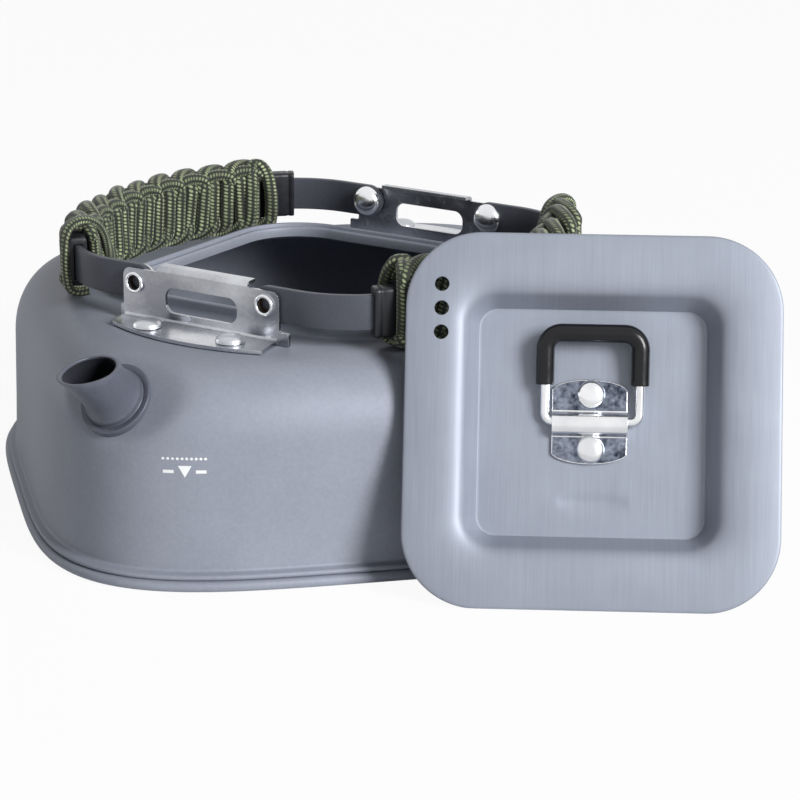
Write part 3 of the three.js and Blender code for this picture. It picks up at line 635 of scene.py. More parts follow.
def make_bracket(name, node, turn):
    """Upright plate with a slot, a foot, a tab bent inwards, and a fillet along the foot's bend."""
    low = BRACKET_FOOT
    top = PLATE_TOP
    edge = PLATE_HALF
    face = BRACKET_FACE
    outer = face + BRACKET_SHEET
    corner = PLATE_ROUND
    outline = [(-edge - 0.4, low), (edge + 3.2, low)]
    outline += arc(edge + 2.7, low + 3.1, 0.5, 0, 90, 3)
    outline += arc(edge + 0.8, low + 4.4, 0.8, 270, 180, 4)
    outline += arc(edge - corner, top - corner, corner, 0, 90, 10)
    outline += arc(-edge + PLATE_SHIFT + corner, top - corner, corner, 90, 180, 10)
    outline += [(-edge + PLATE_SHIFT, low + 4.2), (-edge - 0.4, low + 3.8)]
    slot_low = low + SLOT_LOW
    slot_high = slot_low + SLOT_HEIGHT
    slot = arc(SLOT_HALF - SLOT_ROUND, slot_low + SLOT_ROUND, SLOT_ROUND, -90, 0, 8)
    slot += arc(SLOT_HALF - SLOT_ROUND, slot_high - SLOT_ROUND, SLOT_ROUND, 0, 90, 8)
    slot += [(-x, z) for x, z in slot[::-1]]
    holes = [[(x + PLATE_SHIFT, z) for x, z in slot]]
    holes += [circle(side * PIVOT_HALF, PIVOT_HEIGHT, PIVOT_HOLE) for side in (-1, 1)]
    stand = Matrix(((1, 0, 0, 0), (0, 0, -1, -face), (0, 1, 0, 0), (0, 0, 0, 1)))
    plate_mesh = extruded("plate", outline, holes, BRACKET_SHEET, stand)

    start, stop = [degrees(acos((x - FOOT_MIDDLE) / FOOT_BOW)) for x in (FOOT_END, FOOT_TIP)]
    foot = [(-26.2, face), (26.4, face), (26.4, outer + 2.2), (FOOT_END - 0.4, outer + 9.4)]
    foot += arc(FOOT_MIDDLE, outer + FOOT_DEPTH - FOOT_BOW, FOOT_BOW, start, stop, 40)
    foot += [(FOOT_TIP - 0.3, outer + 7.2), (-26.2, outer + 1.8)]
    down = Matrix(((1, 0, 0, 0), (0, -1, 0, 0), (0, 0, -1, low + BRACKET_SHEET), (0, 0, 0, 1)))
    foot_mesh = extruded("foot", foot, [], BRACKET_SHEET, down)

    bend = radians(TAB_BEND)
    reach = (-sin(bend) * TAB_REACH, cos(bend) * TAB_REACH)
    outside = arc(face - TAB_INNER, top, TAB_INNER + BRACKET_SHEET, 0, TAB_BEND, 10)
    inside = arc(face - TAB_INNER, top, TAB_INNER, TAB_BEND, 0, 10)
    tips = [(y + reach[0], z + reach[1]) for y, z in (outside[-1], inside[0])]
    tab = [(face, top - 1.0), (outer, top - 1.0)] + outside + tips + inside
    tab_mesh = extruded("tab", tab, [], TAB_WIDTH, sideways(TAB_START))

    seat = low + BRACKET_SHEET
    fillet = [(outer - FILLET_SINK, seat - FILLET_SINK), (outer + FILLET_ROUND, seat - FILLET_SINK)]
    fillet += arc(outer + FILLET_ROUND, seat + FILLET_ROUND, FILLET_ROUND, 270, 180, 6)
    fillet += [(outer - FILLET_SINK, seat + FILLET_ROUND)]
    fillet_mesh = extruded("fillet", fillet, [], FILLET_WIDTH, sideways(FILLET_START))

    mesh = fuse(name, [plate_mesh, foot_mesh, tab_mesh, fillet_mesh])
    mesh.transform(Matrix.Rotation(turn, 4, "Z"))
    obj = add_object(name, mesh, "kettle", "polished_steel", [node], 35)
    bevel(obj, 0.24, 2)


def dome(radius, base, rise, flat):
    """Profile of a rivet head: a flattened dome."""
    points = []
    for t in np.linspace(0, pi / 2, 11):
        points.append((radius * cos(t) ** (1 - flat), base + rise * sin(t) ** (1 - flat / 2)))
    return points


def make_rivets():
    """Foot rivets, and pivot rivets with a hollow end, of both brackets."""
    seat = BRACKET_FOOT + BRACKET_SHEET + 0.05
    foot_profile = [(0, INNER_HEAD), (2.6, INNER_HEAD), (3.0, 58.8), (3.0, 59.2), (2.0, 59.3), (2.0, seat)]
    foot_profile += [(4.0, seat), (4.2, seat + 0.25)] + dome(4.15, seat + 0.4, 1.9, 0.25)
    inner = -(STRAP_MIDDLE - STRAP_THICKNESS / 2 - 0.15)
    outer = BRACKET_FACE + BRACKET_SHEET
    pivot_profile = [(r, -z) for r, z in dome(4.7, inner, 3.0, 0.15)][::-1]
    pivot_profile += [(2.2, -inner + 0.05), (2.2, outer), (3.05, outer)]
    pivot_profile += arc(2.6, outer + 0.5, 0.5, 0, 180, 10)
    pivot_profile += [(1.95, outer - 0.6), (1.85, outer - 2.4), (0, outer - 2.4)]
    bore_profile = [(0, outer - 2.35), (1.3, outer - 2.3), (1.8, outer - 1.7), (1.86, outer - 0.1)]
    bore_profile += [(1.9, outer - 0.1), (1.9, outer - 2.38), (0, outer - 2.38)]
    forward = Matrix.Rotation(pi / 2, 4, "X")
    for end, turn in (("front", 0.0), ("rear", pi)):
        about = Matrix.Rotation(turn, 4, "Z")
        for side in (-1, 1):
            name = "left" if side * cos(turn) < 0 else "right"
            foot = about @ Matrix.Translation((side * FOOT_RIVET_X + FOOT_RIVET_SHIFT, -FOOT_RIVET_Y, 0))
            pivot = about @ Matrix.Translation((side * PIVOT_HALF, 0, PIVOT_HEIGHT)) @ forward
            for kind, profile, place in (("foot", foot_profile, foot), ("pivot", pivot_profile, pivot)):
                node = f"{end}_{kind}_rivet_{name}"
                mesh = place_mesh(turned(node, profile), place)
                add_object(f"{node}_head", mesh, "kettle", "polished_steel", [node], 50)
            mesh = place_mesh(turned("pivot_bore", bore_profile), pivot)
            add_object(f"{node}_bore", mesh, "kettle", "polished_steel", (), 50)


# Arms: a place on the centre line by its length from the middle of the grip

BOW_X = ARM_REACH - BOW_RADIUS
CORNER_Y = STRAP_MIDDLE - CORNER_RADIUS
CORNER_X = BOW_X + sqrt((BOW_RADIUS - CORNER_RADIUS) ** 2 - CORNER_Y**2)
BOW_SWING = atan2(CORNER_Y, CORNER_X - BOW_X)
BOW_LENGTH = BOW_RADIUS * BOW_SWING
CORNER_LENGTH = CORNER_RADIUS * (pi / 2 - BOW_SWING)


def arm_place(length):
    side = -1 if length < 0 else 1
    distance = abs(length)
    if distance <= BOW_LENGTH:
        heading = distance / BOW_RADIUS
        x = BOW_X + BOW_RADIUS * cos(heading)
        y = BOW_RADIUS * sin(heading)
    elif distance <= BOW_LENGTH + CORNER_LENGTH:
        heading = BOW_SWING + (distance - BOW_LENGTH) / CORNER_RADIUS
        x = CORNER_X + CORNER_RADIUS * cos(heading)
        y = CORNER_Y + CORNER_RADIUS * sin(heading)
    else:
        heading = pi / 2
        x = CORNER_X - (distance - BOW_LENGTH - CORNER_LENGTH)
        y = STRAP_MIDDLE
    outwards = np.array([cos(heading), side * sin(heading), 0])
    return np.array([x, side * y, PIVOT_HEIGHT]), outwards


def arm_point(length, across, up):
    centre, outwards = arm_place(length)
    return centre + across * outwards + np.array([0, 0, up])


def racetrack(thickness, height, corner, steps=5):
    """Section of an arm: a rectangle with round corners."""
    points = []
    for across, up, start in ((1, 1, 0), (-1, 1, 90), (-1, -1, 180), (1, -1, 270)):
        cx = across * (thickness / 2 - corner)
        cy = up * (height / 2 - corner)
        points += arc(cx, cy, corner, start, start + 90, steps)
    return points


def arm_loft(name, stations, loop=False):
    """Loft along the arm through stations of length and section."""
    return loft(name, [[arm_point(s, a, u) for a, u in section] for s, section in stations], loop)


def make_strap(name, node, body, turn):
    straight = CORNER_X - PIVOT_HALF
    end = BOW_LENGTH + CORNER_LENGTH + straight
    section = racetrack(STRAP_THICKNESS, STRAP_HEIGHT, STRAP_ROUND, 3)
    stations = [(t * end, section) for t in np.linspace(-1, 1, 161)]
    for side in (-1, 1):
        extra = []
        for angle in np.linspace(6, 84, 9):
            reach = STRAP_HEIGHT / 2 * sin(radians(angle))
            height = STRAP_HEIGHT * cos(radians(angle))
            corner = min(STRAP_ROUND, height / 2.2)
            extra.append((side * (end + reach), racetrack(STRAP_THICKNESS, height, corner, 3)))
        stations = stations + extra if side > 0 else extra[::-1] + stations
    mesh = arm_loft(name, stations)
    mesh.transform(Matrix.Rotation(turn, 4, "Z"))
    add_object(name, mesh, body, "coated_steel", [node], 40)


def make_core(name, node, body, turn, ends):
    """Two end sleeves and a flatter core between them, all with a bore for the bar."""
    bore = racetrack(STRAP_THICKNESS + STRAP_FIT, STRAP_HEIGHT + STRAP_FIT, 0.5)
    lip = [(0, -0.9), (0.12, -0.45), (0.5, -0.2), (1.6, -0.2), (1.8, -0.5), (2.3, -0.5), (2.6, -0.2)]
    meshes = []
    for end in ends:
        side = 1 if end > 0 else -1
        stations = []
        for back, swell in lip + [(5, -0.2), (8, -0.2), (11, -0.2), (16, -0.2)]:
            section = racetrack(CORE_THICKNESS + swell, CORE_HEIGHT + swell, CORE_ROUND / 2 + swell / 2)
            stations.append((end - side * back, section))
        stations += [(end - side * back, bore) for back in (16, 10, 6, 3, 1, 0)]
        meshes.append(arm_loft("sleeve", stations, loop=True))
    reach = CORE_LENGTH / 2 - 13
    skin = racetrack(CORE_THICKNESS - 0.4, CORE_HEIGHT - 0.8, 1.2)
    middle = [(s, skin) for s in np.linspace(-reach, reach, 41)]
    middle += [(s, bore) for s in np.linspace(reach, -reach, 41)]
    meshes.append(arm_loft("middle", middle, loop=True))
    mesh = merge(name, meshes)
    mesh.transform(Matrix.Rotation(turn, 4, "Z"))
    add_object(name, mesh, body, "black_plastic", [node], 40)


def cord_tube(name, path, radials, widths, thicknesses):
    """Oval tube of cord, with its flat side against the grip."""
    path = np.asarray(path, float)
    rings = []
    for i, point in enumerate(path):
        forward = path[min(i + 1, len(path) - 1)] - path[max(i - 1, 0)]
        forward /= np.linalg.norm(forward)
        side = np.cross(forward, radials[i])
        side /= np.linalg.norm(side)
        up = np.cross(side, forward)
        angles = full_turn(CORD_SIDES)
        thick = thicknesses[i] / 2 * np.cos(angles)[:, None] * up
        wide = widths[i] / 2 * np.sin(angles)[:, None] * side
        rings.append(point + thick + wide)
    return loft(name, rings)


def smooth_path(points, steps):
    """Catmull-Rom curve through control points."""
    points = [np.asarray(p, float) for p in points]
    points = [2 * points[0] - points[1]] + points + [2 * points[-1] - points[-2]]
    path = []
    for a, b, c, d in zip(points, points[1:], points[2:], points[3:]):
        for t in np.linspace(0, 1, steps, endpoint=False):
            start = 2 * b + (c - a) * t + (2 * a - 5 * b + 4 * c - d) * t * t
            path.append(0.5 * (start + (3 * b - a - 3 * c + d) * t**3))
    path.append(points[-2])
    return path


def weave_at(turn):
    """Point and outward direction on the weave's round-cornered section, by its share of one turn."""
    corner = WEAVE_CORNER
    x = WEAVE_HALF_THICKNESS - corner
    y = WEAVE_HALF_HEIGHT - corner
    quarter = corner * pi / 2
    s = (turn % 1.0) * 4 * (x + y + quarter)
    legs = [
        (2 * y, (WEAVE_HALF_THICKNESS, -y), (0, 1)),
        (quarter, (x, y), 0),
        (2 * x, (x, WEAVE_HALF_HEIGHT), (-1, 0)),
        (quarter, (-x, y), 90),
        (2 * y, (-WEAVE_HALF_THICKNESS, y), (0, -1)),
        (quarter, (-x, -y), 180),
        (2 * x, (-x, -WEAVE_HALF_HEIGHT), (1, 0)),
        (quarter, (x, -y), 270),
    ]
    for length, start, way in legs:
        if s <= length or way == 270:
            if isinstance(way, tuple):
                return (start[0] + way[0] * s, start[1] + way[1] * s), (way[1], -way[0])
            angle = radians(way) + s / corner
            out = (cos(angle), sin(angle))
            return (start[0] + corner * out[0], start[1] + corner * out[1]), out
        s -= length


def loop_tube(name, controls, width, thickness, steps=6, taper=1.0):
    """Cord through control points given as place along the arm, across it and up."""
    local = smooth_path(controls, steps)
    path = [arm_point(*p) for p in local]
    outs = []
    for length, across, up in local:
        outwards = arm_place(length)[1]
        out = 1.6 * across * outwards + up * np.array([0, 0, 1.0])
        outs.append(out / np.linalg.norm(out))
    ends = np.interp(np.linspace(0, 1, len(path)), [0, 0.15, 0.85, 1], [taper, 1, 1, taper])
    return cord_tube(name, path, outs, width * ends, thickness * ends)


# Strands of a knot: points along the arm, across it and up, their shift along it, their share
# of the knot's lift, and the strand's width and thickness
KNOT_STRANDS = (
    (((-7.6, 4.6, 4.4), (-6.8, 4.4, 7.4), (-4.6, 2.6, 9.4), (-1.4, 0.6, 10.2), (2.0, -1.0, 10.2),
      (5.0, -2.8, 9.2), (6.8, -4.3, 7.2), (7.2, -4.3, 5.0)), 0.0, 1.0, 4.6, 3.4),
    (((-6.4, -3.9, 6.0), (-5.2, -4.3, 7.9), (-2.8, -3.9, 8.9), (0.4, -3.4, 9.2), (3.4, -3.3, 8.9),
      (5.6, -3.1, 7.8), (6.6, -3.0, 6.4)), -0.6, 0.6, 4.0, 3.2),
)


def make_cord(name, node, body, turn, stand):
    """Square-knot weave: strands wound round the grip, and knots that lie along both edges."""
    meshes = []
    path = []
    radials = []
    for i in range(CORD_TURNS * TURN_STEPS + 1):
        t = i / TURN_STEPS
        length = (t - CORD_TURNS / 2) * CORD_PITCH
        (across, up), (out_across, out_up) = weave_at(t)
        front_share = max(length / 48 - 0.05, 0) ** 1.3
        rear_share = max(-length / 48 - 0.2, 0)
        lean = (5.0 * front_share + 1.2 * rear_share) * up / WEAVE_HALF_HEIGHT
        length += lean + 0.5 * sin(2.3 * t) + 0.3 * sin(5.3 * t + 1.0)
        bulge = 0.3 * sin(2.4 * t) * sin(5.1 * t + 1.0)
        path.append(arm_point(length, across + bulge * out_across, up + bulge * out_up))
        radials.append(out_across * arm_place(length)[1] + out_up * np.array([0, 0, 1.0]))
    count = len(path)
    meshes.append(cord_tube("strands", path, radials, [CORD_WIDTH] * count, [CORD_THICKNESS] * count))

    spacing = CORD_TURNS * CORD_PITCH / KNOTS
    for k in range(KNOTS):
        for edge in (1, -1):
            middle = (k - (KNOTS - 1) / 2) * spacing + 1.2 * edge
            lift = 0.3 * sin(2.7 * k + edge)
            if edge > 0:
                lift += stand * ramp(abs(middle) - 12, 20)
            for points, shift, share, width, thickness in KNOT_STRANDS:
                controls = []
                for s, across, up in points:
                    controls.append((middle + s + shift, across * edge, edge * (up + share * lift)))
                meshes.append(loop_tube("knot", controls, width, thickness, 5, 0.6))

    first = (
        (59.6, -2.6, -8.2), (59.2, 0.4, -8.7), (58.4, 2.8, -7.6), (57.6, 3.7, -3.0), (57.0, 3.8, 3.0),
        (55.6, 3.4, 7.6), (53.0, 1.4, 10.0), (49.5, -1.6, 10.6), (45.6, -4.4, 9.0), (41.6, -6.0, 5.6),
        (37.4, -6.4, 1.4), (33.4, -6.2, -3.0), (30.0, -5.2, -7.0), (28.0, -2.4, -9.2),
    )
    second = (
        (-51.6, -3.4, -8.4), (-51.4, -5.2, -4.0), (-51.0, -5.5, 2.0), (-50.0, -4.9, 7.2), (-48.4, -3.8, 10.2),
        (-46.6, -2.8, 10.9), (-44.8, -3.6, 9.8), (-43.8, -5.1, 6.0), (-43.3, -5.8, 0.0), (-43.0, -5.3, -6.0),
        (-42.6, -3.0, -9.0),
    )
    third = (
        (-48.6, -2.6, -8.8), (-49.0, 2.8, -8.4), (-49.4, 4.4, -3.0), (-49.4, 4.4, 3.0), (-48.8, 3.2, 8.0),
        (-47.4, 0.0, 10.0), (-45.8, -3.2, 8.8),
    )
    for controls, thickness in ((first, 2.7), (second, 3.2), (third, 3.2)):
        raised = [(s, across, up + stand * ramp(up - 3, 6)) for s, across, up in controls]
        meshes.append(loop_tube("end_loop", raised, 4.4, thickness))
    mesh = merge(name, meshes)
    mesh.transform(Matrix.Rotation(turn, 4, "Z"))
    add_object(name, mesh, body, "braided_cord", [node], 60)


# Lid, drawn with its brim's top at height zero, then leaned on the kettle


def lid_matrix():
    lean = radians(LID_LEAN)
    turn = Matrix.Rotation(radians(LID_TURN), 4, "Z")
    tip = Matrix.Rotation(pi / 2 - lean, 4, "X")
    back = LID_HALF * sin(lean)
    rise = LID_HALF * cos(lean) + 0.7 * sin(lean)
    return Matrix.Translation((*LID_FOOT, 0)) @ turn @ Matrix.Translation((0, back, rise)) @ tip


LID = lid_matrix()
RECESS = LID @ Matrix.Translation((0, RECESS_RISE, -PANEL_SINK))


def lid_ring(half, corner, z):
    """Ring of the lid, with its recess set back and its middle raised a little up the lid."""
    z -= PANEL_SINK * ramp(SINK_HALF - half, SINK_RUN)
    ring = polar_ring(LID_ANGLES, square_radius(half, min(corner, half * 0.98), LID_ANGLES), z)
    ring[:, 1] += PANEL_RISE * ramp(RISE_HALF - half, RISE_RUN)
    return ring


def make_lid():
    profile = [
        (LID_HALF, LID_CORNER, -1.1), (50.92, 20.4, -0.82), (50.65, 20.2, -0.62), (50.1, 19.7, -0.52),
        (48.6, 18.3, -0.34), (46.6, 16.5, -0.14), (44.6, 14.8, -0.01), (42.4, 13.2, 0.05), (40.6, 12.1, 0.02),
        (39.0, 11.2, -0.08), (37.7, 10.4, -0.26), (36.6, 9.8, -0.53), (35.8, 9.3, -0.86), (35.1, 8.8, -1.32),
        (34.5, 8.4, -1.9), (34.0, 8.0, -2.6), (33.6, 7.7, -3.4), (32.8, 7.0, -4.8), (31.9, 6.1, -6.4),
        (31.0, 5.2, -7.8), (30.6, 4.7, -7.9), (30.2, 4.1, -7.9), (29.8, 3.5, -7.9),
    ]
    profile += [(29.8 * share, 3.5 * share, -7.9) for share in np.linspace(0.95, 0.02, 34)]

    def dimple(ring):
        ring = ring.copy()
        across = np.clip(1 - (np.abs(ring[:, 0] - 0.5) / 9.8) ** 4, 0, 1)
        along = np.exp(-(((ring[:, 1] + 21.4) / 1.7) ** 2))
        ring[:, 2] -= 0.4 * across * along
        return ring

    top = [dimple(lid_ring(*p)) for p in profile]
    under = []
    for (half, corner, z), (next_half, _, next_z) in zip(profile, profile[1:]):
        slope = atan2(z - next_z, max(half - next_half, 1e-6))
        out = LID_SHEET * sin(slope) * 0.9
        down = LID_SHEET * max(cos(slope), 0.35)
        under.append(dimple(lid_ring(half + out, corner, z - down)))
    under[0] = lid_ring(LID_HALF - 0.1, LID_CORNER - 0.1, -LID_SHEET)
    rings = top[::-1] + under
    mesh = loft("lid", rings, uv_of=lambda p: (p[0] / 100 + 0.5, p[1] / 100 + 0.5))
    obj = add_object("lid_plate", mesh, "lid", "brushed_aluminium", ["lid_shell"], 45)
    x, y = HOLE_PLACE
    heights = [y - HOLE_SPACING * i for i in range(3)]
    cut_with(obj, [rod(HOLE_RADIUS, (x, height, -4), (x, height, 4)) for height in heights], 45)
    place_mesh(obj.data, LID)


def make_saddle():
    """Sheet folded over the bail's ends, with a plate and a rivet on each side."""
    foot = -PANEL_DEPTH + 0.15
    outer = 2.45
    top = foot + 0.9
    plate = []
    fold = []
    for x in np.linspace(-10.3, 10.3, 41):
        end = 8.2 + 3.4 * sqrt(max(1 - (x / 10.5) ** 2, 0))
        plate.append([(x, y, z) for y, z in ((-end, top), (-end, foot), (end, foot), (end, top))])
        section = [(-4.3, top - 0.3), (3.1, top - 0.3), (3.1, top + 0.25), (2.7, top + 0.3)]
        section += [(1.22 * y - 0.7, z) for y, z in arc(0, BAIL_AXIS, outer, 12, 168, 16)]
        section += [(-4.0, top + 0.3), (-4.3, top + 0.25)]
        fold.append([(x, y, z) for y, z in section])
    place = RECESS @ Matrix.Translation((-SADDLE_SHIFT, 0, 0))
    for name, sections, nodes, sharp, width in (
        ("saddle", plate, ["lid_saddle"], 40, 0.28),
        ("saddle_fold", fold, (), 35, 0.1),
    ):
        obj = add_object(name, loft(name, sections), "lid", "polished_steel", nodes, sharp)
        bevel(obj, width, 2)
        place_mesh(obj.data, place)
    low = LID_INNER_HEAD
    profile = [(0, low), (2.6, low), (3.0, -10.0), (3.0, -9.4), (2.0, -9.2), (2.0, top), (3.7, top)]
    profile += [(3.9, top + 0.2)] + dome(3.85, top + 0.4, 2.0, 0.2)
    for name, side in (("lid_rivet_upper", 1), ("lid_rivet_lower", -1)):
        place = RECESS @ Matrix.Translation((-SADDLE_SHIFT / 2, side * LID_RIVET_PLACE, 0))
        mesh = place_mesh(turned(name, profile), place)
        add_object(f"{name}_head", mesh, "lid", "polished_steel", [name], 50)


def flat_tube(name, path, radius, sides=20, bore=None):
    """Round tube along a path in its own XY plane, with a bore where one is given."""
    path = np.asarray(path, float)
    angles = full_turn(sides)

    def skin(size):
        rings = []
        for i, point in enumerate(path):
            forward = path[min(i + 1, len(path) - 1)] - path[max(i - 1, 0)]
            forward /= np.linalg.norm(forward)
            side = np.array([forward[1], -forward[0]])
            flat = point + size * np.cos(angles)[:, None] * side
            rings.append(np.column_stack([flat, size * np.sin(angles)]))
        return rings

    if bore:
        return loft(name, skin(radius) + skin(bore)[::-1], loop=True)
    return loft(name, skin(radius))


def make_bail():
    """Wire loop with both ends turned in under the saddle's fold, and a cover over its far half."""
    half = BAIL_HALF
    corner = BAIL_CORNER
    foot = BAIL_FOOT
    end = BAIL_LENGTH - corner
    bail = RECESS @ Matrix.Translation((0, 0, BAIL_AXIS)) @ Matrix.Rotation(radians(BAIL_TILT), 4, "X")
    loop = arc(half - corner, end, corner, 0, 90, 12) + arc(corner - half, end, corner, 90, 180, 12)
    path = [(1.0, 0), (1.15, 0)] + arc(half - foot, foot, foot, -90, 0, 8) + loop
    path += arc(foot - half, foot, foot, 180, 270, 8) + [(-1.15, 0), (-1.0, 0)]
    wire = place_mesh(flat_tube("wire", path, BAIL_WIRE), bail)
    add_object("bail_rod", wire, "lid_bail", "polished_steel", ["bail_wire"], 50)
    path = [(half, 10.0), (half, 10.4)] + loop + [(-half, 10.4), (-half, 10.0)]
    cover = place_mesh(flat_tube("cover", path, COVER_RADIUS, 28, COVER_BORE), bail)
    bevel(add_object("bail_cover", cover, "lid_bail", "black_rubber", ["bail_sleeve"], 50), 0.25, 3)


def wall_point(along, z, proud=0.0):
    """Point on the flat wall that faces between +X and -Y, by its distance from the wall's middle."""
    half = WALL_FOOT_HALF + (WALL_TOP_HALF - WALL_FOOT_HALF) * min(z, SHOULDER_START) / SHOULDER_START
    reach = (half**4 - abs(along) ** 4) ** 0.25 + proud
    root = sqrt(0.5)
    return np.array([(reach + along) * root, (along - reach) * root, z])


def wall_patch(name, shapes):
    """Thin printed shapes that follow the wall, each a fan of points along and up the wall."""
    points = []
    faces = []
    for shape in shapes:
        first = len(points)
        middle = np.mean(np.asarray(shape, float), axis=0)
        points.append(wall_point(*middle, 0.05))
        points += [wall_point(a, z, 0.05) for a, z in shape]
        count = len(shape)
        faces += [(first, first + 1 + i, first + 1 + (i + 1) % count) for i in range(count)]
    mesh = bpy.data.meshes.new(name)
    mesh.from_pydata([tuple(p) for p in np.asarray(points) * MM], [], faces)
    return mesh


def make_fill_mark():
    """Dotted fill line, with a plain triangle between two bars under it."""
    shapes = [circle(a, 37.2, 0.4, 16) for a in np.linspace(-61.1, -50.0, 10)]
    shapes.append([(-57.3, 35.2), (-53.7, 35.2), (-55.5, 31.9)])
    for start, end in ((-61.2, -58.4), (-52.6, -49.8)):
        shapes.append([(start, 34.0), (end, 34.0), (end, 33.1), (start, 33.1)])
    add_object("fill_mark", wall_patch("fill_mark", shapes), "kettle", "anodised_aluminium")


# Materials


class Nodes:
    """Short way to write the node tree of a material or a world."""

    def __init__(self, owner):
        owner.use_nodes = True
        self.tree = owner.node_tree
        self.shader = self.tree.nodes.get("Principled BSDF")

    def add(self, kind, inputs=None, **settings):
        """New node, with plain values or other nodes' outputs at its numbered inputs."""
        node = self.tree.nodes.new(kind)
        for name, value in settings.items():
            setattr(node, name, value)
        for index, value in (inputs or {}).items():
            if isinstance(value, (int, float, tuple)):
                node.inputs[index].default_value = value
            else:
                self.tree.links.new(value, node.inputs[index])
        return node

    def math(self, operation, *values):
        return self.add("ShaderNodeMath", dict(enumerate(values)), operation=operation).outputs[0]

    def weighted(self, *parts):
        """Sum of values, each times its weight."""
        total = None
        for value, weight in parts:
            part = self.math("MULTIPLY", value, weight)
            total = self.math("ADD", total, part) if total else part
        return total

    def remap(self, value, low, high, to_low, to_high):
        values = (value, low, high, to_low, to_high)
        return self.add("ShaderNodeMapRange", dict(enumerate(values))).outputs[0]

    def mix(self, factor, a, b):
        return self.add("ShaderNodeMix", {0: factor, 6: a, 7: b}, data_type="RGBA").outputs[2]

    def noise(self, vector, scale, detail, roughness):
        return self.add("ShaderNodeTexNoise", {0: vector, 2: scale, 3: detail, 4: roughness}).outputs[0]

    def stretch(self, vector, scale):
        return self.add("ShaderNodeMapping", {0: vector, 3: scale}).outputs[0]

    def link(self, socket, name):
        self.tree.links.new(socket, self.shader.inputs[name])

    def colour(self, blend, start, end, low, high):
        self.link(self.mix(self.remap(blend, start, end, 0, 1), low, high), "Base Color")

    def gloss(self, value, low, high):
        self.link(self.remap(value, 0.3, 0.7, low, high), "Roughness")

    def set(self, **values):
        for name, value in values.items():
            self.shader.inputs[name.replace("_", " ").title().replace("Ior", "IOR")].default_value = value


def new_material(name, coordinates):
    """A material, its nodes, and one of its sets of texture coordinates."""
    material = bpy.data.materials.new(name)
    n = Nodes(material)
    return material, n, n.add("ShaderNodeTexCoord").outputs[coordinates]


def rgb(red, green, blue):
    """Linear colour from screen values of 0 to 255."""
    def linear(v):
        v /= 255
        return v / 12.92 if v <= 0.04045 else ((v + 0.055) / 1.055) ** 2.4
    return (linear(red), linear(green), linear(blue), 1.0)


def speckled(name, low, high, roughness, metallic, grain=900.0):
    """Coated or blasted metal: fine grain and faint cloudy wear in its colour and gloss."""
    material, n, place = new_material(name, "Object")
    blend = n.weighted((n.noise(place, grain, 3, 0.6), 0.45), (n.noise(place, 35.0, 4, 0.6), 0.55))
    n.colour(blend, 0.35, 0.65, low, high)
    n.gloss(blend, roughness - 0.05, roughness + 0.05)
    n.set(metallic=metallic, specular_ior_level=0.25)
    return material


def brushed(name, low, high, roughness, metallic):
    """Metal with straight brush lines along the second texture axis."""
    material, n, surface = new_material(name, "UV")
    lines = n.noise(n.stretch(surface, (420, 5, 1)), 1.0, 3, 0.65)
    broad = n.noise(n.stretch(surface, (60, 2, 1)), 1.0, 3, 0.6)
    cloud = n.noise(surface, 5.0, 3, 0.5)
    n.colour(n.weighted((lines, 0.5), (broad, 0.2), (cloud, 0.3)), 0.36, 0.64, low, high)
    n.gloss(lines, roughness - 0.06, roughness + 0.08)
    n.set(metallic=metallic)
    return material


def polished(name, dark, bright, roughness, scale, spot_share):
    """Stamped steel: clouds and small spots in its colour, partly random tone and partly painted reflections,
    and hair scratches in its gloss.
    """
    material, n, place = new_material(name, "Object")
    scratches = n.noise(n.stretch(place, (300, 2500, 300)), 1.0, 3, 0.6)
    tone_and_reflection_clouds = n.noise(place, scale, 2, 0.5)
    spots = n.noise(place, 700.0, 3, 0.6)
    n.colour(n.weighted((tone_and_reflection_clouds, 1 - spot_share), (spots, spot_share)), 0.36, 0.64, dark, bright)
    n.gloss(scratches, roughness - 0.04, roughness + 0.06)
    n.set(metallic=1.0)
    return material


def moulded(name, low, high, roughness, grain=700.0):
    """Plastic, rubber or print: cloudy colour, with a fine grain in its gloss."""
    material, n, place = new_material(name, "Object")
    n.colour(n.noise(place, 60.0, 2, 0.5), 0.35, 0.65, low, high)
    n.gloss(n.noise(place, grain, 3, 0.6), roughness - 0.06, roughness + 0.08)
    n.set(specular_ior_level=0.35)
    return material


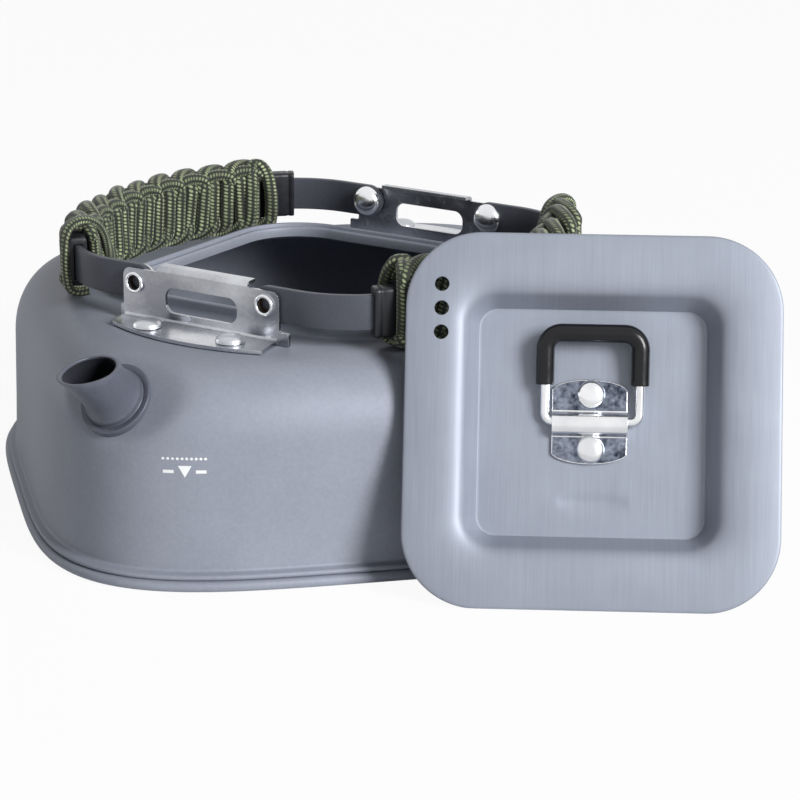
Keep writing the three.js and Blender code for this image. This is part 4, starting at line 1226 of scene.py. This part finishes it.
def braided(name):
    """Woven cord sheath: olive yarns in a slanted weave, darker towards the grooves between them as painted
    shade, with pale tracer flecks in rows.
    """
    material, n, surface = new_material(name, "UV")
    split = n.add("ShaderNodeSeparateXYZ", {0: surface})

    def peak(value):
        """Highest in the middle of a cell, and zero at its edges."""
        return n.math("SUBTRACT", 1.0, n.math("MULTIPLY", n.math("ABSOLUTE", value), 2.0))

    def squared(value, reach):
        return n.math("POWER", n.math("DIVIDE", value, reach), 2.0)

    columns = n.math("MULTIPLY", split.outputs[1], 6.0)
    cell = n.math("FLOOR", columns)
    across = n.math("SUBTRACT", n.math("FRACT", columns), 0.5)
    rows = n.weighted((split.outputs[0], 0.92), (across, 0.5), (cell, 0.5))
    row = n.math("SUBTRACT", n.math("FRACT", rows), 0.5)
    height = n.math("MULTIPLY", n.math("POWER", peak(row), 0.6), n.math("POWER", peak(across), 0.4))
    tracer = n.remap(n.math("ADD", squared(row, 0.34), squared(across, 0.3)), 1.15, 0.7, 0, 1)
    fuzz = n.noise(n.stretch(surface, (1.1, 18, 1)), 1.0, 3, 0.6)
    patches = n.noise(n.stretch(surface, (0.12, 1.5, 1)), 1.0, 2, 0.5)
    tracer = n.math("MULTIPLY", tracer, n.remap(fuzz, 0.3, 0.6, 0.45, 1))
    tracer = n.math("MULTIPLY", tracer, n.remap(patches, 0.38, 0.6, 0.4, 1))
    # Yarn colour goes dark towards each yarn's edges and the grooves between yarns: painted shade
    base = n.mix(n.remap(height, 0.1, 0.9, 0, 1), rgb(13, 16, 11), rgb(48, 57, 37))
    n.link(n.mix(tracer, base, rgb(178, 190, 147)), "Base Color")
    n.set(roughness=0.72, sheen_weight=0.25, sheen_roughness=0.5)
    return material


MATERIALS = {}
for look, make, *values in (
    ("anodised", speckled, (142, 147, 160), (153, 158, 171), 0.5, 0.1),
    # Spout: a darker copy of the body's anodised aluminium, painted shade
    ("spout", speckled, (92, 96, 108), (102, 106, 118), 0.38, 0.2),
    # Dark tone of the sheet in the spout's bore: painted shade
    ("bore", speckled, (34, 36, 42), (42, 44, 51), 0.6, 0.0),
    ("brushed", brushed, (136, 142, 155), (152, 158, 171), 0.5, 0.3),
    # Steel whose light and dark clouds stand partly for reflections: painted reflections and random tone
    ("polished", polished, (150, 152, 159), (208, 210, 215), 0.24, 45.0, 0.15),
    # Saddle plates: dark and bright patches in place of their reflections and relief: painted reflections and
    # painted shade
    ("stamped", polished, (40, 46, 62), (150, 158, 174), 0.2, 330.0, 0.5),
    # Near-white steel for the bevelled edges: painted highlights
    ("edge", polished, (222, 224, 228), (240, 241, 243), 0.25, 200.0, 0.1),
    ("rivet", polished, (222, 223, 226), (240, 241, 243), 0.2, 90.0, 0.1),
    ("flat_rivet", polished, (172, 174, 180), (204, 206, 211), 0.3, 90.0, 0.1),
    ("coated", speckled, (76, 79, 88), (86, 89, 98), 0.42, 0.25, 1200.0),
    ("plastic", moulded, (20, 21, 27), (28, 29, 35), 0.4),
    ("rubber", moulded, (9, 10, 14), (14, 15, 20), 0.2, 500.0),
    ("brass", moulded, (30, 22, 18), (86, 62, 44), 0.4, 900.0),
    ("cord", braided),
    ("print", moulded, (240, 241, 243), (248, 249, 250), 0.5, 900.0),
):
    MATERIALS[look] = make(look, *[rgb(*v) if isinstance(v, tuple) else v for v in values])

LOOKS = {
    "anodised_aluminium": "anodised",
    "brushed_aluminium": "brushed",
    "polished_steel": "polished",
    "coated_steel": "coated",
    "black_plastic": "plastic",
    "black_rubber": "rubber",
    "braided_cord": "cord",
}


PIECE_LOOKS = {
    "fill_mark": "print",
    # The spout takes the darker copy of the anodised finish: painted shade
    "spout_shell": "spout",
    "spout_bore": "bore",
    "saddle": "stamped",
    # The saddle's fold is the same sheet as its plates, in near-white steel: painted highlight along the roll
    "saddle_fold": "rivet",
    "bail_rod": "rivet",
}


def look_of(obj):
    """Look of a piece by its name, or else by its material slot."""
    if obj.name in PIECE_LOOKS:
        return PIECE_LOOKS[obj.name]
    if obj.name.endswith("_bore"):
        return "brass"
    if obj.name.endswith("_head"):
        return "flat_rivet" if "foot" in obj.name else "rivet"
    return LOOKS[obj["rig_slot"]]


def dress(obj, look):
    obj.data.materials.clear()
    obj.data.materials.append(MATERIALS[look])


def painted_highlight_edges(obj):
    """Painted highlights along the edges: the bevel takes a brighter steel than the faces."""
    obj.data.materials.append(MATERIALS["edge"])
    obj.modifiers["bevel"].material = 1


make_body()
make_pan()
make_spout()
make_bracket("front_plate", "front_bracket", 0.0)
make_bracket("rear_plate", "rear_bracket", pi)
make_rivets()
for side, angle in (("right", 0.0), ("left", pi)):
    make_strap(f"{side}_bar", f"{side}_strap", f"{side}_arm", angle)
    make_core(f"{side}_sleeves", f"{side}_grip_core", f"{side}_arm", angle, SLEEVE_ENDS[side])
    make_cord(f"{side}_weave", f"{side}_grip_cord", f"{side}_arm", angle, CORD_STAND[side])
make_lid()
make_saddle()
make_bail()
make_fill_mark()

for obj in bpy.data.objects:
    if obj.type == "MESH" and "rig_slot" in obj:
        dress(obj, look_of(obj))
for name in ("front_plate", "rear_plate", "saddle"):
    painted_highlight_edges(bpy.data.objects[name])
NODE_LOOKS = {s["node"]: LOOKS[s["material_slot"]] for s in frame["record"]["subparts"]}
for node, obj in frame["nodes"].items():
    dress(obj, NODE_LOOKS[node])


# Floor, world and lamps


def make_floor():
    """Floor that takes the shadow, and shows white to the camera and half so in metal."""
    reach = FLOOR_REACH
    corners = [(-reach, -reach, 0), (reach, -reach, 0), (reach, reach, 0), (-reach, reach, 0)]
    mesh = bpy.data.meshes.new("floor")
    mesh.from_pydata(corners, [], [(0, 1, 2, 3)])
    floor = new_object("floor", mesh)
    material = bpy.data.materials.new("floor")
    n = Nodes(material)
    n.set(base_color=(FLOOR_GREY, FLOOR_GREY, FLOOR_GREY, 1), roughness=0.9)
    glow = n.add("ShaderNodeEmission", {0: (1, 1, 1, 1), 1: 1.0})
    rays = n.add("ShaderNodeLightPath").outputs
    seen = n.math("MAXIMUM", rays["Is Camera Ray"], n.math("MULTIPLY", rays["Is Glossy Ray"], FLOOR_IN_METAL))
    share = n.math("MULTIPLY", seen, FLOOR_SHARE)
    mixed = n.add("ShaderNodeMixShader", {0: share, 1: n.shader.outputs[0], 2: glow.outputs[0]})
    n.tree.links.new(mixed.outputs[0], n.tree.nodes["Material Output"].inputs["Surface"])
    mesh.materials.append(material)


def make_world():
    """Soft white room that the camera, and what shows in metal, see as plain white."""
    world = bpy.data.worlds.new("studio")
    bpy.context.scene.world = world
    n = Nodes(world)
    rays = n.add("ShaderNodeLightPath").outputs
    seen = rays["Is Camera Ray"]
    for kind in ("Is Glossy Ray", "Is Transmission Ray"):
        seen = n.math("MAXIMUM", seen, rays[kind])
    background = n.tree.nodes["Background"]
    background.inputs[0].default_value = (1, 1, 1, 1)
    n.tree.links.new(n.remap(seen, 0, 1, WORLD_LIGHT, 1), background.inputs[1])


def make_lamp(name, place, target, size, power):
    data = bpy.data.lights.new(name, "AREA")
    data.shape = "RECTANGLE"
    data.size = size[0]
    data.size_y = size[1]
    data.energy = power
    lamp = new_object(name, data)
    lamp.location = place
    lamp.rotation_mode = "QUATERNION"
    lamp.rotation_quaternion = (Vector(target) - Vector(place)).to_track_quat("-Z", "Y")


make_floor()
make_world()
make_lamp("key", (1.76, -0.36, 0.86), (0.02, -0.02, 0.05), (0.7, 0.9), 46)
make_lamp("fill", (-1.7, -0.2, 0.25), (-0.05, -0.02, 0.05), (0.8, 0.5), 2.0)

bpy.context.scene.view_settings.view_transform = "Standard"
